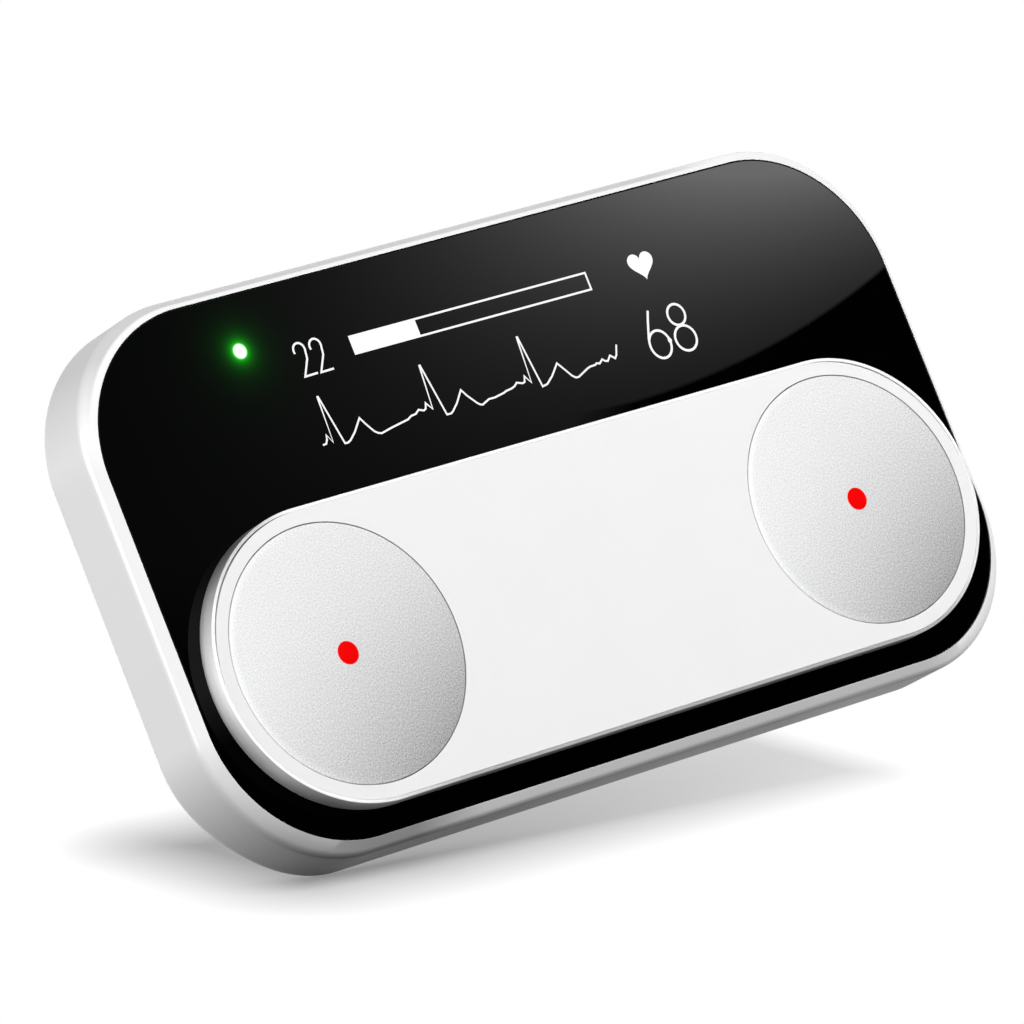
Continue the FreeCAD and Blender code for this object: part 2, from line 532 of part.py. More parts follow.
def make_sensor_base():
    """Black carrier under the white plate: guide sleeves for the electrodes and heat stakes."""
    base = new_body("sensor_base")
    foot = new_sketch(base, PANEL_TOP, y="Sizes.electrode_line")
    stadium_outline(foot, "Sizes.electrode_spacing", "Sizes.base_foot_radius")
    pad(base, foot, "Sizes.base_thickness")
    lip = new_sketch(base, BASE_TOP + " - Sizes.base_lip", y="Sizes.electrode_line")
    stadium_outline(lip, "Sizes.electrode_spacing", "Sizes.base_radius")
    pad(base, lip, "Sizes.base_lip")
    for _, middle in SIDES:
        cylinder(base, "Additive", "Sizes.sleeve_radius", PANEL_TOP + " - Sizes.sleeve_foot",
                 middle, "Sizes.electrode_line", "Sizes.sleeve_foot")
        cylinder(base, "Subtractive", "Sizes.post_radius + Sizes.post_fit", BASE_TOP,
                 middle, "Sizes.electrode_line", "Sizes.sleeve_foot - Sizes.overcut")
        cylinder(base, "Subtractive", "Sizes.pin_hole_radius", "Sizes.base_thickness + 2 * Sizes.overcut",
                 middle, "Sizes.electrode_line + Sizes.contact_pin_offset", PANEL_TOP + " - Sizes.overcut")
    for x, y in STAKES:
        cylinder(base, "Additive", "Sizes.stake_radius", PANEL_TOP + " - Sizes.stake_head_level",
                 x, y, "Sizes.stake_head_level")
        cylinder(base, "Additive", "Sizes.stake_head_radius", FRAME_BACK + " - Sizes.stake_head_level",
                 x, y, "Sizes.stake_head_level")
    return base


def make_sensor_plate():
    """White insert with two round pockets for the electrodes."""
    plate = new_body("sensor_plate")
    outline = new_sketch(plate, BASE_TOP, y="Sizes.electrode_line")
    stadium_outline(outline, "Sizes.electrode_spacing", "Sizes.plate_radius")
    for _, middle in SIDES:
        round_hole(outline, middle, "0", "Sizes.electrode_pocket")
    pad(plate, outline, "Sizes.plate_rise - Sizes.base_thickness")
    return plate


def make_electrode(side, middle):
    """Steel disc with the post that slides in its sleeve and presses the dome on the board."""
    electrode = new_body("electrode_" + side)
    line = "Sizes.electrode_line"
    nose = BOARD_TOP + " + Sizes.dome_height + Sizes.press_clearance"
    cylinder(electrode, "Additive", "Sizes.electrode_radius", "Sizes.electrode_thickness",
             middle, line, DISC_BACK)
    top, rim = size(DISC_TOP), size("Sizes.electrode_radius")
    dress(electrode, "Chamfer", lambda e: flat_at(top, e) and e.BoundBox.XLength > rim,
          Size="Sizes.electrode_edge")
    cylinder(electrode, "Additive", "Sizes.post_radius", "%s - (%s)" % (DISC_BACK, nose), middle, line, nose)
    groove = new_sketch(electrode, "Sizes.clip_level + Sizes.clip_thickness", middle, line)
    round_hole(groove, "0", "0", "Sizes.post_radius + Sizes.overcut")
    round_hole(groove, "0", "0", "Sizes.clip_seat_radius")
    pocket(electrode, groove, "Sizes.clip_thickness")
    cylinder(electrode, "Subtractive", "Sizes.mark_radius", "Sizes.mark_depth + Sizes.overcut",
             middle, line, DISC_TOP + " - Sizes.mark_depth")
    return electrode


def make_electrode_clip(side, middle):
    """Snap clip in the groove of the post; it stops the disc at its rest height."""
    clip = new_body("electrode_clip_" + side)
    outline = new_sketch(clip, "Sizes.clip_level", middle, "Sizes.electrode_line")
    round_hole(outline, "0", "0", "Sizes.clip_radius")
    round_hole(outline, "0", "0", "Sizes.clip_seat_radius")
    pad(clip, outline, "Sizes.clip_thickness")
    reach = "Sizes.clip_radius + Sizes.overcut"
    box(clip, "Subtractive", "Sizes.clip_mouth", reach, "Sizes.clip_thickness + 2 * Sizes.overcut",
        middle, "Sizes.electrode_line - (%s) / 2" % reach, "Sizes.clip_level - Sizes.overcut")
    return clip


def make_electrode_contact(side, middle):
    """Ring under the spring, with a pin down to the board."""
    contact = new_body("electrode_contact_" + side)
    outline = new_sketch(contact, BASE_TOP, middle, "Sizes.electrode_line")
    round_hole(outline, "0", "0", "Sizes.contact_outer")
    round_hole(outline, "0", "0", "Sizes.contact_inner")
    pad(contact, outline, "Sizes.contact_thickness")
    cylinder(contact, "Additive", "Sizes.contact_pin_radius", "%s - (%s)" % (BASE_TOP, BOARD_TOP),
             middle, "Sizes.electrode_line + Sizes.contact_pin_offset", BOARD_TOP)
    return contact


def make_electrode_spring(side, middle):
    """Wave washer: a flat ring whose height swings three times round."""
    waves, points = 3, 24
    low = size(CONTACT_TOP)
    height = size(DISC_BACK) - low - size("Sizes.press_clearance") - size("Sizes.spring_strip")
    rims = []
    for radius in (size("Sizes.spring_inner"), size("Sizes.spring_outer")):
        turns = [2 * math.pi * n / points for n in range(points)]
        crest = [Vector(radius * math.cos(a), radius * math.sin(a), height * (1 + math.cos(waves * a)) / 2)
                 for a in turns]
        curve = Part.BSplineCurve()
        curve.interpolate(crest, PeriodicFlag=True)
        rims.append(curve.toShape())
    strip = Part.makeRuledSurface(*rims).extrude(Vector(0, 0, size("Sizes.spring_strip")))
    spring = doc.addObject("Part::Feature", "electrode_spring_" + side)
    spring.Label = "electrode_spring_" + side
    spring.Shape = strip
    spring.Placement.Base = Vector(size(middle), size("Sizes.electrode_line"), low)
    return spring


def make_start_dome(side, middle):
    """Thin snap dome on the board, a shell between two spheres."""
    sphere = "(Sizes.dome_radius^2 + Sizes.dome_height^2) / (2 * Sizes.dome_height)"
    name = "start_dome_" + side
    centre = "%s + Sizes.dome_height - %s" % (BOARD_TOP, sphere)
    outer = doc.addObject("Part::Sphere", name + "_outer")
    inner = doc.addObject("Part::Sphere", name + "_inner")
    bind(outer, Radius=sphere)
    bind(inner, Radius=sphere + " - Sizes.dome_sheet")
    for ball in (outer, inner):
        place(ball, middle, "Sizes.electrode_line", centre)
    shell = join("Cut", name + "_ball", outer, inner)
    above = plain_cylinder(name + "_above", "Sizes.dome_radius + Sizes.overcut",
                           "Sizes.dome_height + Sizes.overcut", middle, "Sizes.electrode_line", BOARD_TOP)
    return join("Common", name, shell, above)


# ---------------------------------------------------------------- main board

def make_main_board():
    """Board that spans the casing, cut away for the battery and the casing screws."""
    board = new_body("main_board")
    outline = new_sketch(board, "Sizes.board_level")
    rounded_outline(outline, "Sizes.board_length", "Sizes.board_breadth", "Sizes.board_corner")
    for x, y in BOARD_POSTS:
        round_hole(outline, x, y, "Sizes.board_hole_radius")
    pad(board, outline, "Sizes.board_thickness")
    bay = "Sizes.board_breadth"
    box(board, "Subtractive", "2 * Sizes.battery_bay_half", bay, "Sizes.board_thickness + 2 * Sizes.overcut",
        "0", "Sizes.battery_bay_edge - %s / 2" % bay, "Sizes.board_level - Sizes.overcut")
    for x, y in HOUSING_BOSSES:
        cylinder(board, "Subtractive", "Sizes.boss_notch_radius", "Sizes.board_thickness + 2 * Sizes.overcut",
                 x, y, "Sizes.board_level - Sizes.overcut")
    return board


def hanging(label, length, breadth, height, x, y):
    """Block soldered to the back of the board."""
    return plain_box(label, length, breadth, height, x, y, "Sizes.board_level - (%s)" % height)


def make_chip(name):
    """Chip whose sizes and place the sheet holds under its own name."""
    words = "length", "breadth", "height", "x", "y"
    return hanging(name, *("Sizes.%s_%s" % (name, word) for word in words))


def make_amplifier_shield():
    """Tinned can over the signal amplifier, open towards the board."""
    spot = "Sizes.signal_amplifier_x", "Sizes.signal_amplifier_y"
    sides = "Sizes.shield_length", "Sizes.shield_breadth"
    outside = hanging("amplifier_shield_outside", *sides, "Sizes.shield_height", *spot)
    sides = [side + " - 2 * Sizes.shield_sheet" for side in sides]
    inside = hanging("amplifier_shield_inside", *sides, "Sizes.shield_height - Sizes.shield_sheet", *spot)
    return join("Cut", "amplifier_shield", outside, inside)


def make_board_capacitors():
    """Two rows of small capacitors beside the processor."""
    columns, rows = 5, 2
    parts = []
    for number in range(columns * rows):
        x = "Sizes.capacitor_x + %d * Sizes.capacitor_pitch" % (number % columns)
        y = "Sizes.capacitor_y - %d * Sizes.capacitor_pitch" % (number // columns)
        parts.append(hanging("board_capacitor_%d" % (number + 1), "Sizes.capacitor_length",
                             "Sizes.capacitor_breadth", "Sizes.capacitor_height", x, y))
    return group("board_capacitors", parts)


def make_power_switch():
    """Side-press switch under the board, with a bore for its plunger."""
    switch = new_body("power_switch")
    middle_y = "Sizes.board_breadth / 2 - Sizes.switch_breadth / 2"
    box(switch, "Additive", "Sizes.switch_length", "Sizes.switch_breadth", "Sizes.switch_height",
        "Sizes.key_x", middle_y, "Sizes.board_level - Sizes.switch_height")
    cylinder(switch, "Subtractive", "Sizes.plunger_bore_radius",
             "Sizes.plunger_bore_depth + Sizes.overcut", "Sizes.key_x",
             "Sizes.board_breadth / 2 - Sizes.plunger_bore_depth", "Sizes.plunger_level", turned=True)
    return switch


def make_power_plunger():
    """Round plunger of the switch, which the button pushes."""
    plunger = new_body("power_plunger")
    start = INNER_FACE + " - Sizes.key_flange_gap - Sizes.key_flange_thickness - Sizes.nub_length"
    cylinder(plunger, "Additive", "Sizes.plunger_radius", "Sizes.plunger_length", "Sizes.key_x",
             start + " - Sizes.plunger_length", "Sizes.plunger_level", turned=True)
    return plunger


def make_power_button():
    """Pill-shaped key with the flange that keeps it behind the wall and the nub on the plunger."""
    button = new_body("power_button")
    flange_front = INNER_FACE + " - Sizes.key_flange_gap"
    key_slot(button, "Additive", "Sizes.key_length", "Sizes.key_height", flange_front,
             "Sizes.wall_thickness + Sizes.key_flange_gap - Sizes.key_sink")
    front = size(OUTER_FACE + " - Sizes.key_sink") - 1e-4
    dress(button, "Fillet", lambda e: e.BoundBox.YMin > front, Radius="Sizes.key_edge_round")
    key_slot(button, "Additive", "Sizes.key_flange_length", "Sizes.key_flange_height",
             flange_front + " - Sizes.key_flange_thickness", "Sizes.key_flange_thickness")
    nub_back = flange_front + " - Sizes.key_flange_thickness - Sizes.nub_length"
    cylinder(button, "Additive", "Sizes.nub_radius", "Sizes.nub_length", "Sizes.key_x", nub_back,
             "Sizes.plunger_level", turned=True)
    return button


def bevelled_block(label, length, height, bevel, y, low):
    """Block along Y from y, with its two lower long corners bevelled."""
    block = new_body(label)
    box(block, "Additive", length, "Sizes.usb_depth", height, "Sizes.usb_x",
        "%s + Sizes.usb_depth / 2" % y, low)
    lowest = size(low)
    dress(block, "Chamfer", lambda e: flat_at(lowest, e) and e.BoundBox.XLength < 1e-4, Size=bevel)
    return block


def make_usb_socket():
    """Folded metal socket for the charging plug, with its lower corners bevelled."""
    back = OUTER_FACE + " - Sizes.usb_setback - Sizes.usb_depth"
    low = "Sizes.board_level - Sizes.usb_height"
    outside = bevelled_block("usb_socket_outside", "Sizes.usb_length", "Sizes.usb_height",
                             "Sizes.usb_bevel", back, low)
    inside = bevelled_block("usb_socket_inside", "Sizes.usb_length - 2 * Sizes.usb_sheet",
                            "Sizes.usb_height - 2 * Sizes.usb_sheet", "Sizes.usb_inner_bevel",
                            back + " + Sizes.usb_sheet", low + " + Sizes.usb_sheet")
    return join("Cut", "usb_socket", outside, inside)


def make_usb_tongue():
    """Plastic tongue that carries the socket's contacts."""
    back = OUTER_FACE + " - Sizes.usb_setback - Sizes.usb_depth + Sizes.usb_sheet"
    return plain_box("usb_tongue", "Sizes.tongue_length", "Sizes.tongue_depth", "Sizes.tongue_height",
                     "Sizes.usb_x", back + " + Sizes.tongue_depth / 2",
                     "Sizes.board_level - Sizes.usb_sheet - Sizes.tongue_drop - Sizes.tongue_height")


def make_buzzer():
    """Round buzzer under the board, facing the sound holes."""
    buzzer = new_body("buzzer")
    low = "Sizes.board_level - Sizes.buzzer_height"
    cylinder(buzzer, "Additive", "Sizes.buzzer_radius", "Sizes.buzzer_height",
             "Sizes.buzzer_x", "Sizes.buzzer_y", low)
    cylinder(buzzer, "Subtractive", "Sizes.buzzer_port_radius", "Sizes.buzzer_height / 2 + Sizes.overcut",
             "Sizes.buzzer_x", "Sizes.buzzer_y", low + " - Sizes.overcut")
    return buzzer


# ---------------------------------------------------------------- battery

def make_battery_cell():
    """Flat pouch cell with soft long edges."""
    cell = new_body("battery_cell")
    low = "Sizes.floor_thickness + Sizes.cell_tape"
    box(cell, "Additive", "Sizes.cell_length", "Sizes.cell_breadth", "Sizes.cell_height",
        "0", "Sizes.cell_y", low)
    dress(cell, "Fillet", lambda e: e.BoundBox.YLength > 1, Radius="Sizes.cell_round")
    return cell


def make_battery_lead():
    """Two short wires that climb from the guard board over the edge of the main board."""
    start_y = size("Sizes.cell_y + Sizes.cell_breadth / 2 + Sizes.guard_thickness")
    end_y = size("Sizes.plug_y - Sizes.plug_breadth / 2")
    bend, rise, level = size("Sizes.lead_bend"), size("Sizes.lead_rise"), size("Sizes.lead_level")
    turn = math.acos(1 - rise / (2 * bend))
    run = bend * math.sin(turn)
    half = Vector(0, bend * math.sin(turn / 2), bend * (1 - math.cos(turn / 2)))
    wires = []
    for side in (-0.5, 0.5):
        x = size("Sizes.guard_x") + side * size("Sizes.lead_pitch")
        first = Vector(x, start_y, level)
        middle = first + Vector(0, run, rise / 2)
        last = first + Vector(0, 2 * run, rise)
        path = Part.Wire([Part.Arc(first, first + half, middle).toShape(),
                          Part.Arc(middle, last - half, last).toShape(),
                          Part.LineSegment(last, Vector(x, end_y, last.z)).toShape()])
        ring = Part.Wire(Part.Circle(first, Vector(0, 1, 0), size("Sizes.lead_radius")).toShape())
        wires.append(path.makePipeShell([ring], True, True))
    lead = doc.addObject("Part::Feature", "battery_lead")
    lead.Label = "battery_lead"
    lead.Shape = Part.makeCompound(wires)
    return lead


# ---------------------------------------------------------------- display

def make_display_foam():
    """Foam frame that holds the display against the panel."""
    height = "%s - (%s)" % (GLASS_BACK, BOARD_TOP)
    outside = plain_box("display_foam_outside", "Sizes.glass_length - 2 * Sizes.bond_margin",
                        "Sizes.glass_breadth - 2 * Sizes.bond_margin", height,
                        "Sizes.glass_x", "Sizes.glass_y", BOARD_TOP)
    inset = " - 2 * (Sizes.bond_margin + Sizes.foam_band)"
    inside = plain_box("display_foam_inside", "Sizes.glass_length" + inset, "Sizes.glass_breadth" + inset,
                       height, "Sizes.glass_x", "Sizes.glass_y", BOARD_TOP)
    return join("Cut", "display_foam", outside, inside)


def make_display_flex():
    """Flat cable in an S-bend from the lower edge of the display to its socket."""
    bend, half = size("Sizes.flex_bend"), size("Sizes.flex_sheet") / 2
    x = size("Sizes.flex_x - Sizes.flex_width / 2")
    top = size("Sizes.flex_level")
    low = size(BOARD_TOP + " + Sizes.flex_socket_height / 2")
    edge_y = size("Sizes.glass_y - Sizes.glass_breadth / 2")
    socket_y = size("Sizes.flex_socket_y + Sizes.flex_socket_breadth / 2")
    turn_y = (edge_y + socket_y) / 2
    diagonal = bend * math.sqrt(0.5)
    first = Vector(x, edge_y, top)
    crest = Vector(x, turn_y + bend, top)
    crest_end = Vector(x, turn_y, top - bend)
    foot = Vector(x, turn_y, low + bend)
    foot_end = Vector(x, turn_y - bend, low)
    crest_half = Vector(x, turn_y + bend - diagonal, top - bend + diagonal)
    foot_half = Vector(x, turn_y - bend + diagonal, low + bend - diagonal)
    path = Part.Wire([Part.LineSegment(first, crest).toShape(),
                      Part.Arc(crest, crest_half, crest_end).toShape(),
                      Part.LineSegment(crest_end, foot).toShape(),
                      Part.Arc(foot, foot_half, foot_end).toShape(),
                      Part.LineSegment(foot_end, Vector(x, socket_y, low)).toShape()])
    corners = [first + Vector(dx, 0, dz) for dx, dz in
               ((0, -half), (size("Sizes.flex_width"), -half), (size("Sizes.flex_width"), half), (0, half))]
    flex = doc.addObject("Part::Feature", "display_flex")
    flex.Label = "display_flex"
    flex.Shape = path.makePipeShell([Part.makePolygon(corners + corners[:1])], True, True)
    return flex


def make_light_pipe():
    """Clear rod that brings the status light to the face, with a flange behind the frame."""
    pipe = new_body("light_pipe")
    low = FRAME_BACK + " - Sizes.pipe_flange_height"
    cylinder(pipe, "Additive", "Sizes.pipe_radius", "%s - (%s)" % (PANEL_TOP, low),
             "Sizes.light_x", "Sizes.light_y", low)
    cylinder(pipe, "Additive", "Sizes.pipe_flange_radius", "Sizes.pipe_flange_height",
             "Sizes.light_x", "Sizes.light_y", low)
    return pipe


# ---------------------------------------------------------------- assembly

nodes = [
    make_rear_shell(), make_front_panel(), make_front_frame(), make_panel_adhesive(), make_rear_label(),
    make_trim_ring(), make_trim_gasket(), make_sensor_base(), make_sensor_plate(),
    make_main_board(), make_amplifier_shield(), make_board_capacitors(),
    make_power_switch(), make_power_plunger(), make_power_button(),
    make_usb_socket(), make_usb_tongue(), make_buzzer(),
    make_battery_cell(), make_battery_lead(), make_display_foam(), make_display_flex(), make_light_pipe(),
]
nodes += [make_chip(name) for name in CHIPS]
nodes.append(make_screws("housing_screws", HOUSING_BOSSES, "Sizes.counterbore_depth", "Sizes.screw_radius",
                         "Sizes.screw_length", "Sizes.screw_head_radius", "Sizes.screw_head_height",
                         "Sizes.drive_length", "Sizes.drive_width", "Sizes.drive_depth"))
nodes.append(make_screws("board_screws", BOARD_POSTS, "Sizes.board_level", "Sizes.board_screw_radius",
                         "Sizes.board_screw_length", "Sizes.board_head_radius", "Sizes.board_head_height",
                         "Sizes.board_drive_length", "Sizes.board_drive_width", "Sizes.board_drive_depth"))
nodes.append(plain_box("battery_tape", "Sizes.cell_tape_length", "Sizes.cell_tape_breadth", "Sizes.cell_tape",
                       "0", "Sizes.cell_y", "Sizes.floor_thickness"))
nodes.append(plain_box("battery_guard", "Sizes.guard_length", "Sizes.guard_thickness", "Sizes.guard_height",
                       "Sizes.guard_x", "Sizes.cell_y + (Sizes.cell_breadth + Sizes.guard_thickness) / 2",
                       "Sizes.guard_level"))
nodes.append(plain_box("battery_plug", "Sizes.plug_length", "Sizes.plug_breadth", "Sizes.plug_height",
                       "Sizes.plug_x", "Sizes.plug_y", BOARD_TOP))
nodes.append(plain_box("display_module", "Sizes.glass_length", "Sizes.glass_breadth", "Sizes.glass_thickness",
                       "Sizes.glass_x", "Sizes.glass_y", GLASS_BACK))
nodes.append(plain_box("display_bond", "Sizes.glass_length - 2 * Sizes.bond_margin",
                       "Sizes.glass_breadth - 2 * Sizes.bond_margin", "Sizes.adhesive",
                       "Sizes.glass_x", "Sizes.glass_y", FRAME_TOP))
nodes.append(plain_box("display_socket", "Sizes.flex_socket_length", "Sizes.flex_socket_breadth",
                       "Sizes.flex_socket_height", "Sizes.flex_x", "Sizes.flex_socket_y", BOARD_TOP))
nodes.append(plain_box("status_led", "Sizes.led_length", "Sizes.led_breadth", "Sizes.led_height",
                       "Sizes.light_x", "Sizes.light_y", BOARD_TOP))
for side, middle in SIDES:
    nodes.append(make_electrode(side, middle))
    nodes.append(make_electrode_clip(side, middle))
    nodes.append(make_electrode_contact(side, middle))
    nodes.append(make_electrode_spring(side, middle))
    nodes.append(make_start_dome(side, middle))
    nodes.append(plain_cylinder("thumb_mark_" + side, "Sizes.mark_radius",
                                "Sizes.mark_depth + Sizes.mark_proud", middle, "Sizes.electrode_line",
                                DISC_TOP + " - Sizes.mark_depth"))

doc.recompute()
for thing in doc.Objects:
    if "Invalid" in thing.State or "Error" in thing.State:
        raise RuntimeError("%s did not compute" % thing.Label)
os.makedirs("parts", exist_ok=True)
for node in nodes:
    if node.Shape.isNull() or not node.Shape.isValid():
        raise RuntimeError("%s has no valid shape" % node.Label)
    node.Shape.exportStep("parts/%s.step" % node.Label)
    bounds = node.Shape.BoundBox
    print("%-26s %d solids %9.2f mm3" % (node.Label, len(node.Shape.Solids), node.Shape.Volume),
          "z %.2f to %.2f" % (bounds.ZMin, bounds.ZMax))
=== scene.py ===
# %% [markdown]
# # A pocket heart monitor
# The object is a flat white case with a black glass face. A long white plate stands proud of the
# face inside a bright metal ring, and carries two round steel electrodes for the thumbs.
# The construction model is loaded first and stays fixed: everything below is built around it,
# in metres, in the same place. Parts whose shape is right keep it and only get a finish.

# %% Load the construction model
import math

import bmesh
import bpy
from mathutils import Matrix, Vector


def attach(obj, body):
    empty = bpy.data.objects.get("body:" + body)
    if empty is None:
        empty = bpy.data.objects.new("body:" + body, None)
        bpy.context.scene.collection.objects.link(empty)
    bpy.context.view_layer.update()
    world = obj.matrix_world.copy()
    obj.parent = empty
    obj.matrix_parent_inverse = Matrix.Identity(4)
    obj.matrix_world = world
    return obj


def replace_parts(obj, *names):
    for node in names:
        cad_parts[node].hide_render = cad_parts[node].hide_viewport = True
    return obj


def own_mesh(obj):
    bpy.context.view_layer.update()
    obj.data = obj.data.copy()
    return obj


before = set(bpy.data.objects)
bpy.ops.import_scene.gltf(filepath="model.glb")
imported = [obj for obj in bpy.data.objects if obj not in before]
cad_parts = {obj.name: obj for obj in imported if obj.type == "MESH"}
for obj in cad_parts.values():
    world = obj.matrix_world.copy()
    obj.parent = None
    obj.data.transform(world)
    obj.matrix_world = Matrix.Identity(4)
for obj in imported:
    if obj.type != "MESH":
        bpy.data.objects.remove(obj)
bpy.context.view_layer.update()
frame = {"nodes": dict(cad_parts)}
nodes, scene = frame["nodes"], bpy.context.scene

# %% [markdown]
# ## Working by place
# All sizes below are in millimetres, and one value turns them into metres. Blender's edit
# operators act on whatever is selected, so the first helpers clear the selection and then pick
# edges or faces by where they lie. That is what a hand does with the mouse, written as a test.

# %% Selecting in edit mode
MM = 0.001
CLOSE, ON_CIRCLE = 0.004, 0.02


def alone(piece=None):
    """Leave edit mode, and select one piece or nothing."""
    if bpy.context.object and bpy.context.object.mode == "EDIT":
        bpy.ops.object.mode_set(mode="OBJECT")
    bpy.ops.object.select_all(action="DESELECT")
    if piece:
        piece.select_set(True)
        bpy.context.view_layer.objects.active = piece


def pick(piece, kind, test):
    """Open a piece in edit mode and select the edges or faces that pass a test."""
    if piece.mode != "EDIT":
        alone(piece)
        bpy.ops.object.mode_set(mode="EDIT")
    bpy.ops.mesh.select_mode(type=kind)
    bpy.ops.mesh.select_all(action="DESELECT")
    mesh = bmesh.from_edit_mesh(piece.data)
    chosen = [item for item in (mesh.edges if kind == "EDGE" else mesh.faces) if test(item)]
    for item in chosen:
        item.select_set(True)
    mesh.select_flush_mode()
    bmesh.update_edit_mesh(piece.data)
    return len(chosen)


def level(height, axis=2):
    """Test for edges or faces that lie at one height in millimetres along an axis."""
    return lambda item: all(abs(v.co[axis] / MM - height) < CLOSE for v in item.verts)


def circle_at(x, y, radius, height):
    """Test for edges on a circle about an upright axis, at one height."""
    return lambda item: level(height)(item) and all(
        abs(math.hypot(v.co.x / MM - x, v.co.y / MM - y) - radius) < ON_CIRCLE for v in item.verts)


print("one unit is", 1 / MM, "millimetres")

# %% [markdown]
# Most parts of the case start as a box between two corners, with the edges along one axis
# rounded. A bevel as wide as half the box gives a slot with round ends. Round parts start as a
# cylinder. Both get their place and size applied at once, so the object stays at the origin and
# the mesh holds the place.

# %% Starting shapes
SAME_SPOT = 1e-7


def settle(name, scale=(1, 1, 1)):
    """Name the newest object, and put its place and size into its mesh."""
    made = bpy.context.object
    made.name = made.data.name = name
    made.scale = scale
    bpy.ops.object.transform_apply(location=True, rotation=True, scale=True)
    return made


def solid_box(name, low, high, along=2, corner=0.0, steps=24, only=None):
    """A box from corner to corner, its edges along one axis rounded."""
    low, high = Vector(low) * MM, Vector(high) * MM
    alone()
    bpy.ops.mesh.primitive_cube_add(size=1, location=(low + high) / 2)
    box = settle(name, high - low)
    if corner:
        pick(box, "EDGE", lambda e: (only is None or only(e)) and abs(
            abs((e.verts[1].co - e.verts[0].co)[along]) - (high - low)[along]) < SAME_SPOT)
        bpy.ops.mesh.bevel(offset=corner * MM, segments=steps, affect="EDGES", clamp_overlap=False)
        bpy.ops.mesh.select_all(action="SELECT")
        bpy.ops.mesh.remove_doubles(threshold=SAME_SPOT)
        alone(box)
    return box


def solid_rod(name, x, y, radius, low, high, sides=96):
    """An upright cylinder between two heights."""
    alone()
    bpy.ops.mesh.primitive_cylinder_add(vertices=sides, radius=radius * MM, depth=(high - low) * MM,
                                        location=Vector((x, y, (low + high) / 2)) * MM)
    return settle(name)


def slab(name, length, breadth, corner, low, high, steps=32):
    """A plate with four round corners, centred on the case, between two heights."""
    return solid_box(name, (-length / 2, -breadth / 2, low), (length / 2, breadth / 2, high),
                     corner=corner, steps=steps)


print("starting shapes: a box, a rod and a slab")

# %% [markdown]
# Openings are cut with solids of their own size, as a cutter would. Edges are then rounded,
# because no moulded or turned edge is truly sharp, and smooth shading comes last.

# %% Cutting, rounding, painting and shading
SMOOTH_ANGLE = 35


def combine(piece, tools, operation="DIFFERENCE"):
    """Cut tools out of a piece, or add them to it, and throw the tools away."""
    for tool in tools:
        alone(piece)
        change = piece.modifiers.new("change", "BOOLEAN")
        change.operation, change.solver, change.object = operation, "EXACT", tool
        bpy.ops.object.modifier_apply(modifier=change.name)
        bpy.data.objects.remove(tool)


def soften(piece, places, radius, steps=2):
    """Round the edges that pass any of the tests."""
    count = pick(piece, "EDGE", lambda e: any(test(e) for test in places))
    bpy.ops.mesh.bevel(offset=radius * MM, segments=steps, affect="EDGES")
    alone(piece)
    return count


def paint(piece, finish):
    """Put a finish on a whole piece."""
    piece.data.materials.append(finish.owner)


def shade(piece):
    """Smooth shading that stops at sharp edges and leaves flat faces flat."""
    alone(piece)
    bpy.ops.object.shade_smooth_by_angle(angle=math.radians(SMOOTH_ANGLE))
    even = piece.modifiers.new("even", "WEIGHTED_NORMAL")
    even.keep_sharp = True
    bpy.ops.object.modifier_apply(modifier=even.name)
    print(piece.name, len(piece.data.vertices), "points", len(piece.data.polygons), "faces")
    return piece


print("edges turning less than", SMOOTH_ANGLE, "degrees are shaded smooth")

# %% [markdown]
# ## Shader sums
# A finish is a small network of nodes. Sums are easier to read as Python, so a value from a node
# is wrapped in a class whose operators add the Math nodes. A ramp turns a distance into a share
# between nothing and one, so that a change of tone fades in softly.


# %% Values from nodes
def operator(name, reflected=False):
    """A method that adds a Math node of a value and another, in either order."""
    def method(self, other):
        first, second = (other, self) if reflected else (self, other)
        return self.finish.node("ShaderNodeMath", {"operation": name}, {0: first, 1: second})
    return method


class Value:
    """A number that a node gives, which can stand in a sum."""

    def __init__(self, finish, socket):
        self.finish, self.socket = finish, socket

    __add__ = __radd__ = operator("ADD")
    __mul__ = __rmul__ = operator("MULTIPLY")
    __sub__, __rsub__ = operator("SUBTRACT"), operator("SUBTRACT", reflected=True)
    __truediv__, __rtruediv__ = operator("DIVIDE"), operator("DIVIDE", reflected=True)
    __pow__, __rpow__ = operator("POWER"), operator("POWER", reflected=True)
    least, most = operator("MINIMUM"), operator("MAXIMUM")

    def ramp(self, start, stop):
        """Nothing up to the start, one from the stop on, and an even slope between them."""
        return ((self - start) / (stop - start)).most(0.0).least(1.0)


def distance(x, y):
    """How far a spot lies from the point where both of its distances are nothing."""
    return (x * x + y * y) ** 0.5


print("a value knows", *(name for name in vars(Value) if name[0] != "_"))

# %% [markdown]
# A finish holds the network of one material, or of the world. One method adds any node. The
# others add what most finishes need: places in millimetres, noise, bumps, light and tones.


